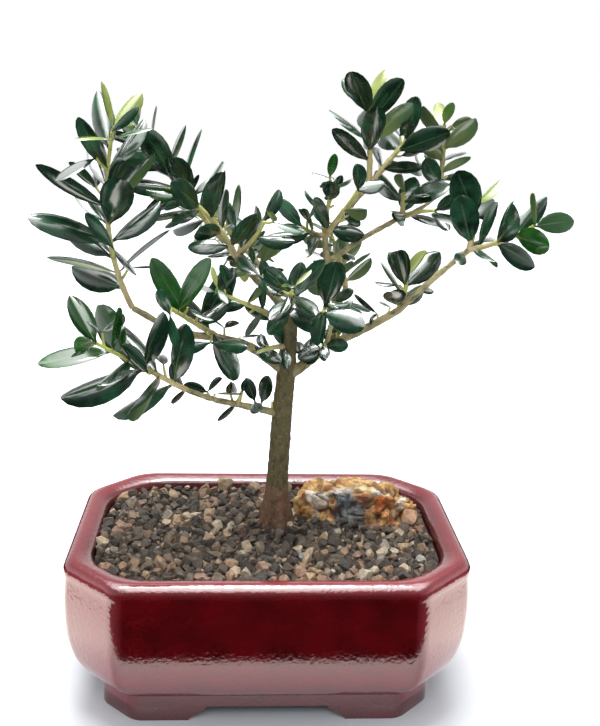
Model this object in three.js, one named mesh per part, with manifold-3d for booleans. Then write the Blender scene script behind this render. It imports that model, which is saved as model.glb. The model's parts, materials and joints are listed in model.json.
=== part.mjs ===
// Olive bonsai in a glazed pot with cut corners, with gravel and an accent rock.
// Millimetres. +Z is up, +X is to the right and +Y points away from the viewer.
// Heights are drawn from just above the table. The finished group stands on z = 0, centred in x and y.
import * as THREE from "three";
import { mergeVertices } from "three/addons/utils/BufferGeometryUtils.js";
import Module from "manifold-3d";

const wasm = await Module();
wasm.setup();
const { Manifold, Mesh: SolidMesh } = wasm;

// Pot sizes
const RIM_LENGTH = 203;
const RIM_WIDTH = 146;
const CORNER_CUT = 27;
const CORNER_SOFTNESS = 5;
const OPENING_SOFTNESS = 14;
const GROUND = -2;
const FOOT_TOP = 6;
const FOOT_INSET = 15.5;
const FOOT_INNER_INSET = 31;
const FOOT_OVERLAP = 1;
const ARCH_FRONT_HALF = 40;
const ARCH_SIDE_HALF = 24;
const ARCH_FLARE = 9;
const ARCH_STEPS = 6;

// Pot wall from the underside to the lip: height, and how far it lies inside the rim's outline
const POT_OUTSIDE = [
  [6, 17], [12.6, 15.6], [13.4, 13.6], [17, 9], [22.5, 4.7], [30, 1.3], [42, -1.3],
  [58, -2], [71, -1.3], [77.4, -1.6], [80.8, 0.2], [82, 3.3],
];
// Pot wall from the sloping rim down the inside to the floor
const POT_INSIDE = [[80.1, 10], [78.6, 11], [44, 12], [24, 17], [16.5, 24]];

// Gravel sizes
const GAP = 0.3;
const SOIL_LEVEL = 75.6;
const SOIL_EDGE_INSET = 11.6;
const SOIL_MOUND_RADIUS = 42;
const SOIL_STEPS = 30;
const SOIL_RINGS = [0.88, 0.74, 0.6, 0.44, 0.26];
const SOIL_SEED = 5;
const GRAVEL_RELIEF = 1.1;
const CHIP_SPOT = [-24, 56, 80.5];
const CHIP_SIZE = [6.5, 4.5, 12];
// Main stones of the gravel: a loose grid, their half sizes, and the room they keep from rim, trunk and rock
const STONE_ROWS = [5, 3];
const STONE_SPACING = 18;
const STONE_SHIFT = 4;
const STONE_TILT = 0.9;
const STONE_HALF = [5.2, 4.4, 3];
const STONE_VARIES = 0.2;
const STONE_INSET = 18;
const STONE_FROM_TRUNK = 20;
const STONE_FROM_ROCK = 1.45;
const STONE_SEED = 9;

// Rock sizes: its half sizes, how blocky it is, its flat base, its rough relief and its slope to the right
const ROCK_SPOT = [52, 21, 76.4];
const ROCK_HALF = [32, 15.5, 14.5];
const ROCK_BLOCK = 0.62;
const ROCK_TURN = -0.06;
const ROCK_RELIEF = 0.08;
const ROCK_CUT = 0.35;
const ROCK_SLOPE = 0.22;
const ROCK_DETAIL = 3;
const ROCK_BED = 1.35;

// Wood sizes
const TRUNK_SIDES = 10;
const TRUNK_STEPS = 12;
const ROOT_RADIUS = 9.6;
const ROOT_RISE = 13;
const ROOT_FADE = 1.5;
const ROOT_LOBES = 5;
const ROOT_LOBE_DEPTH = 0.2;
// How limbs are made: sides, steps along the line, how far they run past it, and radii at both ends
const BOUGH = { sides: 6, steps: 5, past: 0 };
const STEM = { sides: 3, steps: 6, past: 1.6, radii: [1.7, 1.3] };
const TWIG = { sides: 3, steps: 1, past: 1.2, radii: [1.1, 1.1] };

// Leaf sizes: rows give a share of the length and the blade's share of its full width there
const LEAF_THICKNESS = 1;
const LEAF_ROOT = 0.4;
const LEAF_ARCH = 0.1;
const LEAF_DROOP = 0.06;
const LEAF_ROWS = [[0.24, 0.74], [0.6, 1]];
const SMALL_LEAF = 20;
const SMALL_LEAF_ROWS = [[0.5, 1.05]];
const LEAF_GAP = 0.4;
const ROOT_HOLD = 0.1;
const CROSSING = 0.05;

// Growing habit: how leaves and side twigs vary along a shoot, angles in degrees
const PAIR_TURN = 90;
const ROLL_VARIES = 20;
const SPREAD_VARIES = 12;
const TWIST_VARIES = 50;
const LENGTH_VARIES = 0.16;
const WIDTH_VARIES = 0.1;
const FACE_UP = 0.6;
const SMALLEST_LEAF = 0.72;
const SWELL_RANGE = [0.15, 0.9];
const TWIG_LENGTH = 0.28;
const TWIG_LEAF = 0.62;
const TWIG_FORWARD = 0.6;
const TWIG_ASIDE = 0.8;
const TWIG_VARIES = 30;
const TWIG_SHARE = 0.5;

const COLOURS = {
  pot: 0x7a1420, soil: 0x7d6c5c, rock: 0xb88a52, trunk: 0x7c7050, bough: 0x9a8a6c, leaf: 0x24402f,
};
const ROUGHNESS = { pot: 0.15, soil: 0.95, rock: 0.85, trunk: 0.85, bough: 0.8, leaf: 0.35 };

// The trunk's line from the ground to its top, and its thickness along it
const TRUNK_LINE = [[4, 4, 79], [5, 4, 107], [7, 4, 146], [8.5, 4, 170], [9.5, 4, 190], [9, 4, 201]];
const TRUNK_RADII = [5.6, 3.2];

// Boughs: the line of each from where it grows to its tip, and its radius at both ends
const BOUGHS = {
  low_left_inner_bough: { line: [[6, 4, 143], [-6, 0, 147], [-17, -5, 151]], radii: [2, 1.7] },
  low_left_outer_bough: { line: [[-17, -5, 151], [-30, -15, 157], [-43, -25, 165]], radii: [1.7, 1.4] },
  left_inner_bough: { line: [[8, 4, 166], [-10, 1, 180], [-27, -2, 186]], radii: [2.6, 2.1] },
  left_outer_bough: { line: [[-27, -2, 186], [-48, -6, 190], [-70, -11, 203]], radii: [2.1, 1.5] },
  leader_bough: { line: [[9, 4, 199], [-6, 9, 213], [-19, 13, 226]], radii: [2.6, 1.9] },
  right_fork_bough: { line: [[9, 4, 164], [20, 2, 173], [29, 0, 182]], radii: [3, 2.5] },
  right_inner_bough: { line: [[29, 0, 182], [47, -5, 192], [64, -11, 204]], radii: [2.3, 1.8] },
  right_outer_bough: { line: [[64, -11, 204], [80, -17, 222], [95, -22, 237]], radii: [1.8, 1.4] },
  upper_right_lower_bough: { line: [[29, 0, 182], [37, 5, 194], [31, 11, 209]], radii: [2.2, 2] },
  upper_right_middle_bough: { line: [[31, 11, 209], [29, 17, 222], [28, 23, 236]], radii: [2, 1.7] },
  upper_right_upper_bough: { line: [[28, 23, 236], [40, 27, 250], [51, 31, 262]], radii: [1.8, 1.3] },
  middle_right_inner_bough: { line: [[30, 18, 223], [50, 29, 235], [71, 38, 245]], radii: [1.6, 1.3] },
  middle_right_outer_bough: { line: [[71, 38, 245], [81, 42, 249], [91, 45, 256]], radii: [1.3, 1] },
  back_bough: { line: [[9, 5, 184], [4, 28, 200], [-4, 48, 212]], radii: [2.2, 1.4] },
  back_right_bough: { line: [[29, 1, 182], [36, 28, 194], [43, 50, 203]], radii: [1.9, 1.3] },
};

// Shoots: one mass of foliage on each. A shoot grows on from a bough's tip, or from its start on the trunk,
// to its own tip. bow moves the stem's middle, pairs counts the leaf pairs, first is where the first pair
// sits, leaf is the leaf length, last the last pair's share of it, and slim the leaf's width against its
// length. roll turns the first pair, wide and narrow are how far the first and the last pair spread, and
// twigs is the chance of a side twig at a pair. The seed settles everything that varies.
const SHOOT_HABIT = { bow: [0, 0, 0], first: 0.14, wide: 64, narrow: 36, last: 0.8, twigs: 0 };
const SHOOTS = [
  {
    name: "far_left_foliage", on: "left_outer_bough", tip: [-77, -17, 290], bow: [-14, 0, -8],
    pairs: 10, leaf: 36, slim: 0.36, roll: 120, seed: 388, twigs: 0.25,
  },
  {
    name: "low_left_foliage", on: "low_left_outer_bough", tip: [-83, -48, 194],
    pairs: 6, leaf: 36, slim: 0.38, roll: 165, seed: 837, wide: 70, narrow: 48, last: 1,
  },
  {
    name: "right_foliage", on: "right_outer_bough", tip: [123, -34, 251], bow: [0, 0, -3],
    pairs: 4, leaf: 27, slim: 0.5, roll: 120, seed: 127, narrow: 50, last: 1.05, twigs: 0.2,
  },
  {
    name: "top_spire_foliage", on: "upper_right_upper_bough", tip: [49, 37, 304], bow: [2, 0, 0],
    pairs: 7, leaf: 30, slim: 0.46, roll: 165, seed: 322, first: 0.3, twigs: 0.3,
  },
  {
    name: "leader_foliage", on: "leader_bough", tip: [-70, 25, 290], bow: [-1, 0, -3],
    pairs: 10, leaf: 30, slim: 0.38, roll: 120, seed: 382, first: 0.3, twigs: 0.5,
  },
  {
    name: "left_front_foliage", on: "left_inner_bough", tip: [-52, -39, 211],
    pairs: 5, leaf: 35, slim: 0.36, roll: 90, seed: 145, wide: 75, narrow: 55, last: 1, twigs: 0.3,
  },
  {
    name: "front_rosette", on: "upper_right_lower_bough", tip: [24, -29, 206],
    pairs: 3, leaf: 23, slim: 0.5, roll: 75, seed: 375, first: 0.5, wide: 74, narrow: 68, last: 1.05,
  },
  {
    name: "middle_right_spire_foliage", on: "middle_right_outer_bough", tip: [93, 49, 294], bow: [2, 0, 0],
    pairs: 6, leaf: 22, slim: 0.54, roll: 30, seed: 345, twigs: 0.2,
  },
  {
    name: "top_right_foliage", on: "upper_right_upper_bough", tip: [75, 42, 290],
    pairs: 5, leaf: 26, slim: 0.48, roll: 120, seed: 30, first: 0.3, twigs: 0.3,
  },
  {
    name: "right_upper_foliage", on: "right_outer_bough", tip: [99, -13, 258], bow: [2, 0, 0],
    pairs: 4, leaf: 26, slim: 0.54, roll: 60, seed: 677,
  },
  {
    name: "leader_side_foliage", on: "leader_bough", tip: [-44, 4, 257], bow: [4, -4, 4],
    pairs: 5, leaf: 28, slim: 0.42, roll: 165, seed: 365, twigs: 0.3,
  },
  {
    name: "right_inner_foliage", on: "right_inner_bough", tip: [67, -11, 221], bow: [2, 0, 0],
    pairs: 4, leaf: 25, slim: 0.46, roll: 45, seed: 902,
  },
  {
    name: "leader_right_foliage", on: "leader_bough", tip: [-5, -3, 246], bow: [3, -4, 0],
    pairs: 3, leaf: 25, slim: 0.44, roll: 105, seed: 622, twigs: 0.4,
  },
  {
    name: "inner_spray", on: "upper_right_middle_bough", tip: [15, 13, 242], bow: [0, 0, -2],
    pairs: 3, leaf: 26, slim: 0.44, roll: 60, seed: 653, wide: 50, narrow: 28,
  },
  {
    name: "upper_right_inner_foliage", on: "upper_right_middle_bough", tip: [32, 21, 262], bow: [-3, 0, 0],
    pairs: 4, leaf: 19, slim: 0.5, roll: 60, seed: 694, twigs: 0.3,
  },
  {
    name: "upper_right_front_foliage", on: "upper_right_middle_bough", tip: [43, 11, 261], bow: [0, -3, 0],
    pairs: 3, leaf: 22, slim: 0.52, roll: 15, seed: 56, twigs: 0.2,
  },
  {
    name: "middle_right_upper_foliage", on: "middle_right_inner_bough", tip: [70, 32, 259],
    pairs: 3, leaf: 25, slim: 0.5, roll: 60, seed: 487,
  },
  {
    name: "middle_right_lower_foliage", on: "middle_right_inner_bough", tip: [85, 18, 251], bow: [0, 0, 2],
    pairs: 2, leaf: 28, slim: 0.42, roll: 90, seed: 395,
  },
  {
    name: "centre_front_foliage", start: [9, 4, 201], tip: [7, -35, 216], bow: [4, 0, 4],
    pairs: 5, leaf: 23, slim: 0.42, roll: 150, seed: 467, twigs: 0.5,
  },
  {
    name: "centre_left_foliage", start: [8, 4, 192], tip: [-28, -22, 214], bow: [0, 0, 2],
    pairs: 5, leaf: 20, slim: 0.36, roll: 120, seed: 820, twigs: 0.5,
  },
  {
    name: "fork_tuft", on: "right_fork_bough", tip: [26, -14, 186],
    pairs: 3, leaf: 14, slim: 0.58, roll: 15, seed: 517, wide: 75, narrow: 60, last: 1,
  },
  {
    name: "fork_upper_tuft", on: "right_fork_bough", tip: [31, -5, 199],
    pairs: 4, leaf: 19, slim: 0.4, roll: 105, seed: 264,
  },
  {
    name: "trunk_tuft", start: [8, 4, 180], tip: [-7, -19, 183], bow: [0, 0, 2],
    pairs: 2, leaf: 13, slim: 0.5, roll: 15, seed: 788,
  },
  {
    name: "low_left_tuft", on: "low_left_inner_bough", tip: [-15, -13, 160],
    pairs: 2, leaf: 10, slim: 0.5, roll: 0, seed: 79,
  },
  {
    name: "back_left_foliage", on: "back_bough", tip: [-31, 55, 240], bow: [0, 0, 4],
    pairs: 6, leaf: 28, slim: 0.4, roll: 90, seed: 871, twigs: 0.4,
  },
  {
    name: "back_foliage", on: "back_bough", tip: [-17, 70, 223], bow: [0, 0, 4],
    pairs: 5, leaf: 26, slim: 0.4, roll: 15, seed: 865, twigs: 0.4,
  },
  {
    name: "back_right_foliage", on: "back_right_bough", tip: [40, 71, 216], bow: [0, 0, 4],
    pairs: 5, leaf: 25, slim: 0.44, roll: 165, seed: 134, twigs: 0.4,
  },
  {
    name: "back_middle_foliage", on: "back_right_bough", tip: [34, 56, 233], bow: [0, 0, 4],
    pairs: 4, leaf: 23, slim: 0.44, roll: 30, seed: 77, twigs: 0.4,
  },
];

const UP = new THREE.Vector3(0, 0, 1);

function vec(values) {
  return new THREE.Vector3(...values);
}

function mix(pair, share) {
  return THREE.MathUtils.lerp(pair[0], pair[1], share);
}

// A small seeded source of numbers, so that the tree grows the same way every time
function makeDice(seed) {
  let state = Math.imul(seed, 2654435761) >>> 0;
  function next() {
    state = (Math.imul(state, 1664525) + 1013904223) >>> 0;
    return state / 4294967296;
  }
  function around(spread) {
    return (next() * 2 - 1) * spread;
  }
  return { next, around };
}

// A closed skin over rings of points: walls between neighbouring rings and a fan over each end,
// flat unless the top is drawn out to a tip
function loft(rings, tip = middle(rings.at(-1))) {
  const count = rings[0].length;
  const points = rings.flat();
  const triangles = [];
  for (let r = 0; r + 1 < rings.length; r += 1) {
    for (let k = 0; k < count; k += 1) {
      const a = r * count + k;
      const b = r * count + (k + 1) % count;
      triangles.push(a, b, b + count, a, b + count, a + count);
    }
  }
  const last = (rings.length - 1) * count;
  const bottom = points.push(middle(rings[0])) - 1;
  const top = points.push(tip) - 1;
  for (let k = 0; k < count; k += 1) {
    const n = (k + 1) % count;
    triangles.push(bottom, n, k, top, last + k, last + n);
  }
  const geometry = new THREE.BufferGeometry().setFromPoints(points);
  geometry.setIndex(triangles);
  return geometry;
}

function middle(ring) {
  const sum = new THREE.Vector3();
  ring.forEach((point) => sum.add(point));
  return sum.divideScalar(ring.length);
}

// Solids for joining and cutting, and back to a geometry for the finished mesh
function bare(geometry) {
  const plain = geometry.clone();
  plain.deleteAttribute("normal");
  plain.deleteAttribute("uv");
  return mergeVertices(plain, 1e-4);
}

function toSolid(geometry) {
  const merged = bare(geometry);
  const vertProperties = new Float32Array(merged.attributes.position.array);
  const triVerts = new Uint32Array(merged.index.array);
  return new Manifold(new SolidMesh({ numProp: 3, vertProperties, triVerts }));
}

function toGeometry(solid) {
  const mesh = solid.getMesh();
  const geometry = new THREE.BufferGeometry();
  geometry.setAttribute("position", new THREE.BufferAttribute(new Float32Array(mesh.vertProperties), 3));
  geometry.setIndex(new THREE.BufferAttribute(new Uint32Array(mesh.triVerts), 1));
  geometry.computeVertexNormals();
  return geometry;
}

function largestPiece(solid) {
  const pieces = solid.decompose();
  return pieces.reduce((best, piece) => (piece.volume() > best.volume() ? piece : best));
}

function without(solid, rooms) {
  return rooms.reduce((left, room) => left.subtract(room), solid);
}

// The pot's outline seen from above, moved inwards, each corner softened by two points
function outline(inset, softness, z) {
  const a = RIM_LENGTH / 2 - inset;
  const b = RIM_WIDTH / 2 - inset;
  const cut = CORNER_CUT - inset * (2 - Math.SQRT2);
  const corners = [
    [a, cut - b], [a, b - cut], [a - cut, b], [cut - a, b],
    [-a, b - cut], [-a, cut - b], [cut - a, -b], [a - cut, -b],
  ].map(([x, y]) => new THREE.Vector3(x, y, z));
  return corners.flatMap((corner, k) => {
    const before = towards(corner, corners[(k + 7) % 8], softness);
    const after = towards(corner, corners[(k + 1) % 8], softness);
    return [before, after];
  });
}

function towards(from, to, distance) {
  const nearlyHalf = 0.45 * from.distanceTo(to);
  return from.clone().add(to.clone().sub(from).setLength(Math.min(distance, nearlyHalf)));
}

// Pot: lofted wall, then four corner feet left between two arched cuts
function buildPot() {
  const outside = POT_OUTSIDE.map(([z, inset]) => outline(inset, CORNER_SOFTNESS, z));
  const inside = POT_INSIDE.map(([z, inset]) => outline(inset, OPENING_SOFTNESS, z));
  const block = column(FOOT_INSET, CORNER_SOFTNESS, GROUND, FOOT_TOP + FOOT_OVERLAP);
  const hollow = column(FOOT_INNER_INSET, CORNER_SOFTNESS, GROUND - 1, FOOT_TOP);
  const frontArch = archGeometry(ARCH_FRONT_HALF, RIM_WIDTH).rotateX(Math.PI / 2);
  const sideArch = archGeometry(ARCH_SIDE_HALF, RIM_LENGTH).rotateX(Math.PI / 2).rotateZ(Math.PI / 2);
  const feet = without(toSolid(block), [hollow, frontArch, sideArch].map(toSolid));
  return toSolid(loft([...outside, ...inside])).add(feet);
}

function column(inset, softness, bottom, top) {
  return loft([outline(inset, softness, bottom), outline(inset, softness, top)]);
}

// The opening between two feet: wide at the ground, drawn in by a double curve under the pot
function archGeometry(half, through) {
  const top = half - ARCH_FLARE;
  const waist = (GROUND + FOOT_TOP) / 2;
  const shape = new THREE.Shape();
  shape.moveTo(-half, GROUND - 1);
  shape.lineTo(half, GROUND - 1);
  shape.lineTo(half, GROUND);
  shape.bezierCurveTo(half, waist, top, waist, top, FOOT_TOP);
  shape.lineTo(-top, FOOT_TOP);
  shape.bezierCurveTo(-top, waist, -half, waist, -half, GROUND);
  const options = { depth: through, bevelEnabled: false, curveSegments: ARCH_STEPS };
  return new THREE.ExtrudeGeometry(shape, options).translate(0, 0, -through / 2);
}

// Gravel bed: fills the pot, rises to a mound at the trunk, and lies flat under the trunk and the rock
function buildSoil() {
  const dice = makeDice(SOIL_SEED);
  const wall = [...POT_INSIDE].reverse().filter(([z]) => z < SOIL_LEVEL);
  const rings = wall.map(([z, inset]) => evenOutline(inset + GAP, z + GAP));
  const edge = evenOutline(SOIL_EDGE_INSET, SOIL_LEVEL);
  rings.push(edge);
  for (const share of SOIL_RINGS) {
    const underTrunk = share === SOIL_RINGS.at(-1);
    rings.push(edge.map((point) => {
      const x = THREE.MathUtils.lerp(TRUNK_LINE[0][0], point.x, share);
      const y = THREE.MathUtils.lerp(TRUNK_LINE[0][1], point.y, share);
      return new THREE.Vector3(x, y, underTrunk ? TRUNK_LINE[0][2] - GAP : soilHeight(x, y, dice));
    }));
  }
  const chip = new THREE.DodecahedronGeometry(1).scale(...CHIP_SIZE).translate(...CHIP_SPOT);
  const stones = [chip, ...gravelStones()].map(toSolid);
  const bed = stones.reduce((left, stone) => left.add(stone), toSolid(loft(rings)));
  return bed.subtract(rockSolid(GAP));
}

// Angular stones half sunk in the bed
function gravelStones() {
  const dice = makeDice(STONE_SEED);
  const stones = [];
  for (let row = -STONE_ROWS[0]; row <= STONE_ROWS[0]; row += 1) {
    for (let line = -STONE_ROWS[1]; line <= STONE_ROWS[1]; line += 1) {
      const x = STONE_SPACING * row + dice.around(STONE_SHIFT);
      const y = STONE_SPACING * line + dice.around(STONE_SHIFT);
      const size = 1 + dice.around(STONE_VARIES);
      const stone = new THREE.OctahedronGeometry(size);
      stone.rotateX(dice.around(STONE_TILT)).rotateY(dice.around(STONE_TILT));
      stone.scale(...STONE_HALF).rotateZ(dice.around(Math.PI)).translate(x, y, bedHeight(x, y));
      if (isOpenGravel(x, y)) {
        stones.push(stone);
      }
    }
  }
  return stones;
}

function isOpenGravel(x, y) {
  const a = RIM_LENGTH / 2 - STONE_INSET;
  const b = RIM_WIDTH / 2 - STONE_INSET;
  const cut = CORNER_CUT - STONE_INSET * (2 - Math.SQRT2);
  const [along, back] = [Math.abs(x), Math.abs(y)];
  const inRim = along < a && back < b && along + back < a + b - cut;
  return inRim && fromTrunk(x, y) > STONE_FROM_TRUNK && fromRock(x, y) > STONE_FROM_ROCK;
}

function evenOutline(inset, z) {
  const path = new THREE.Path().setFromPoints(outline(inset, OPENING_SOFTNESS, z)).closePath();
  const points = path.getSpacedPoints(SOIL_STEPS).slice(0, SOIL_STEPS);
  return points.map((point) => new THREE.Vector3(point.x, point.y, z));
}

function soilHeight(x, y, dice) {
  const relief = dice.around(GRAVEL_RELIEF);
  return fromRock(x, y) < ROCK_BED ? ROCK_SPOT[2] - GAP : bedHeight(x, y) + relief;
}

function bedHeight(x, y) {
  const rise = TRUNK_LINE[0][2] - GAP - SOIL_LEVEL;
  return SOIL_LEVEL + rise * Math.exp(-((fromTrunk(x, y) / SOIL_MOUND_RADIUS) ** 2));
}

function fromTrunk(x, y) {
  return Math.hypot(x - TRUNK_LINE[0][0], y - TRUNK_LINE[0][1]);
}

// In lengths of the rock's half sizes
function fromRock(x, y) {
  return Math.hypot((x - ROCK_SPOT[0]) / ROCK_HALF[0], (y - ROCK_SPOT[1]) / ROCK_HALF[1]);
}

// Rock: a rough stone with a flat base, higher at its left end, or with extra size the room kept for it
function rockSolid(extra) {
  const stone = bare(new THREE.IcosahedronGeometry(1, ROCK_DETAIL));
  const place = stone.attributes.position;
  for (let k = 0; k < place.count; k += 1) {
    const p = new THREE.Vector3().fromBufferAttribute(place, k);
    const rough = 1 + ROCK_RELIEF * rockRoughness(p);
    p.set(...p.toArray().map((v) => rough * Math.sign(v) * Math.abs(v) ** ROCK_BLOCK));
    p.z = Math.max(p.z * (1 - ROCK_SLOPE * p.x), -ROCK_CUT) + ROCK_CUT;
    place.setXYZ(k, ...ROCK_HALF.map((half, axis) => p.getComponent(axis) * (half + extra)));
  }
  const [x, y, z] = ROCK_SPOT;
  return toSolid(stone.rotateZ(ROCK_TURN).translate(x, y, z - extra));
}

// Three waves of different lengths running across the stone
function rockRoughness(p) {
  const lengthwise = Math.sin(5 * p.x + 1);
  const crosswise = Math.sin(6 * p.y + 4 * p.z + 2);
  const slanting = Math.sin(11 * p.x - 7 * p.z);
  return lengthwise + crosswise + 0.6 * slanting;
}

// Limbs: rings along a smooth line, with a radius given along and round it
function limbRings(curve, radiusAt, sides, steps) {
  const frames = curve.computeFrenetFrames(steps, false);
  return frames.tangents.map((tangent, s) => {
    const centre = curve.getPointAt(s / steps);
    return Array.from({ length: sides }, (_, k) => {
      const angle = 2 * Math.PI * k / sides;
      const radius = radiusAt(s / steps, angle);
      return centre.clone()
        .addScaledVector(frames.normals[s], radius * Math.cos(angle))
        .addScaledVector(frames.binormals[s], radius * Math.sin(angle));
    });
  });
}

function smoothLine(points) {
  return new THREE.CatmullRomCurve3(points.map(vec), false, "catmullrom", 0.5);
}

// Trunk: a flared, lobed foot cut flat at the ground, then a steady taper to the top
function trunkRadius(share, angle) {
  const height = share * (TRUNK_LINE.at(-1)[2] - TRUNK_LINE[0][2]);
  const flare = Math.exp(-((height / ROOT_RISE) ** ROOT_FADE));
  const lobes = 1 + ROOT_LOBE_DEPTH * flare * Math.cos(ROOT_LOBES * angle);
  return (mix(TRUNK_RADII, share ** 2) + (ROOT_RADIUS - TRUNK_RADII[0]) * flare) * lobes;
}

function trunkSolid(extra) {
  const radiusAt = (share, angle) => trunkRadius(share, angle) + extra;
  const rings = limbRings(smoothLine(TRUNK_LINE), radiusAt, TRUNK_SIDES, TRUNK_STEPS);
  rings[0].forEach((point) => point.setZ(TRUNK_LINE[0][2]));
  return toSolid(loft(rings));
}

// A limb that runs on past its line's end, or with extra thickness the room kept clear round it
function limbSolid(curve, make, extra) {
  const rings = limbRings(curve, (share) => mix(make.radii, share) + extra, make.sides, make.steps);
  const end = curve.getTangentAt(1).multiplyScalar(make.past + extra);
  if (end.length() > 0) {
    rings.push(rings.at(-1).map((point) => point.clone().add(end)));
  }
  return toSolid(loft(rings));
}

// Growing rule: opposite pairs of leaves along a stem, each pair a quarter turn on from the last
function stemCurve(shoot) {
  const start = vec(shoot.start ?? BOUGHS[shoot.on].line.at(-1));
  const tip = vec(shoot.tip);
  const bend = start.clone().lerp(tip, 0.5).add(vec(shoot.bow));
  return new THREE.QuadraticBezierCurve3(start, bend, tip);
}

function sideOf(along) {
  const axis = Math.abs(along.y) < 0.75 ? vec([0, 1, 0]) : vec([1, 0, 0]);
  return along.clone().cross(axis).normalize();
}

function turned(direction, axis, degrees) {
  return direction.clone().applyAxisAngle(axis, THREE.MathUtils.degToRad(degrees));
}

function leafPair(spot, along, roll, share, length, shoot, dice) {
  return [0, 180].map((half) => {
    const side = turned(sideOf(along), along, roll + half + dice.around(ROLL_VARIES));
    const spread = mix([shoot.wide, shoot.narrow], share * share) + dice.around(SPREAD_VARIES);
    const forward = Math.cos(THREE.MathUtils.degToRad(spread));
    const aside = Math.sin(THREE.MathUtils.degToRad(spread));
    const way = along.clone().multiplyScalar(forward).addScaledVector(side, aside).normalize();
    const face = along.clone().multiplyScalar(aside).addScaledVector(side, -forward);
    face.addScaledVector(UP, FACE_UP);
    face.addScaledVector(way, -face.dot(way)).normalize();
    const facing = turned(face, way, dice.around(TWIST_VARIES));
    const size = length * (1 + dice.around(LENGTH_VARIES));
    const width = size * shoot.slim * (1 + dice.around(WIDTH_VARIES));
    return { spot, way, face: facing, length: size, width };
  });
}

function growShoot(shoot, stem) {
  const dice = makeDice(shoot.seed);
  const leaves = [];
  const twigs = [];
  for (let k = 0; k < shoot.pairs; k += 1) {
    const share = mix([shoot.first, 1], k / (shoot.pairs - 1));
    const spot = stem.getPoint(share);
    const along = stem.getTangent(share);
    const roll = shoot.roll + PAIR_TURN * k;
    const ending = k === shoot.pairs - 1 ? shoot.last : 1;
    const length = shoot.leaf * swell(share) * ending;
    leaves.push(...leafPair(spot, along, roll, share, length, shoot, dice));
    if (dice.next() < shoot.twigs) {
      const turn = roll + (dice.next() < 0.5 ? 180 : 0) + dice.around(TWIG_VARIES);
      const side = turned(sideOf(along), along, turn);
      const way = along.clone().multiplyScalar(TWIG_FORWARD).addScaledVector(side, TWIG_ASIDE).normalize();
      const end = spot.clone().addScaledVector(way, shoot.leaf * TWIG_LENGTH);
      const small = shoot.leaf * TWIG_LEAF;
      twigs.push(new THREE.LineCurve3(spot, end));
      leaves.push(...leafPair(end, way, 360 * dice.next(), TWIG_SHARE, small, shoot, dice));
    }
  }
  return { twigs, leaves };
}

// Leaves are longest about half way up a shoot
function swell(share) {
  const phase = Math.PI * mix(SWELL_RANGE, share);
  return SMALLEST_LEAF + (1 - SMALLEST_LEAF) * Math.sin(phase);
}

// One leaf: a keeled blade with a stout root, arched along its length and drooping to a pointed tip
function leafSolid(leaf) {
  const across = leaf.face.clone().cross(leaf.way);
  function at(share, aside, above) {
    const lift = LEAF_ARCH * (share - share * share) - LEAF_DROOP * share * share;
    return leaf.spot.clone().addScaledVector(leaf.way, share * leaf.length)
      .addScaledVector(leaf.face, lift * leaf.length + above).addScaledVector(across, aside);
  }
  function ring(share, half, thick) {
    return [at(share, half, thick / 3), at(share, -half, thick / 3), at(share, 0, -2 * thick / 3)];
  }
  const rows = leaf.length < SMALL_LEAF ? SMALL_LEAF_ROWS : LEAF_ROWS;
  const blade = rows.map(([share, wide]) => ring(share, wide * leaf.width / 2, LEAF_THICKNESS));
  return toSolid(loft([ring(0, LEAF_ROOT, 2 * LEAF_ROOT), ...blade], at(1, 0, 0)));
}

// Room between pieces
function near(boxA, boxB) {
  return [0, 1, 2].every((k) => boxA.min[k] < boxB.max[k] + 1 && boxB.min[k] < boxA.max[k] + 1);
}

function isClear(solid, others) {
  const box = solid.boundingBox();
  const close = others.filter((other) => near(box, other.boundingBox()));
  return close.every((other) => solid.minGap(other, LEAF_GAP) >= LEAF_GAP);
}

function crosses(blade, other) {
  return near(blade.boundingBox(), other.boundingBox()) && blade.intersect(other).volume() > CROSSING;
}

// The piece is left out where it would come too near the rest, or where its root isn't well inside the mass
function joined(mass, piece, rest) {
  if (!isClear(piece, rest) || mass.intersect(piece).volume() < ROOT_HOLD) {
    return mass;
  }
  return mass.add(piece);
}

// One mass of foliage: its stem and twigs, and from the tip down every leaf that finds room
function buildMass(shoot, stem, rest) {
  const { twigs, leaves } = growShoot(shoot, stemCurve(shoot));
  let mass = stem;
  for (const twig of twigs) {
    mass = joined(mass, limbSolid(twig, TWIG, 0), rest);
  }
  const kept = [];
  for (const leaf of leaves.reverse()) {
    const blade = leafSolid(leaf);
    const crossing = kept.some((other) => other.spot !== leaf.spot && crosses(blade, other.blade));
    const grown = crossing ? mass : joined(mass, blade, rest);
    if (grown !== mass) {
      kept.push({ spot: leaf.spot, blade });
    }
    mass = grown;
  }
  return mass;
}

// Each limb keeps clear of the limbs before it
function growLimb(curve, make, gap, rooms) {
  const solid = largestPiece(without(limbSolid(curve, make, 0), rooms));
  rooms.push(limbSolid(curve, make, gap));
  return solid;
}

function addMesh(group, name, solid, kind) {
  const look = { color: COLOURS[kind], roughness: ROUGHNESS[kind], metalness: 0 };
  const mesh = new THREE.Mesh(toGeometry(solid), new THREE.MeshStandardMaterial(look));
  mesh.name = name;
  group.add(mesh);
}

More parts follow.
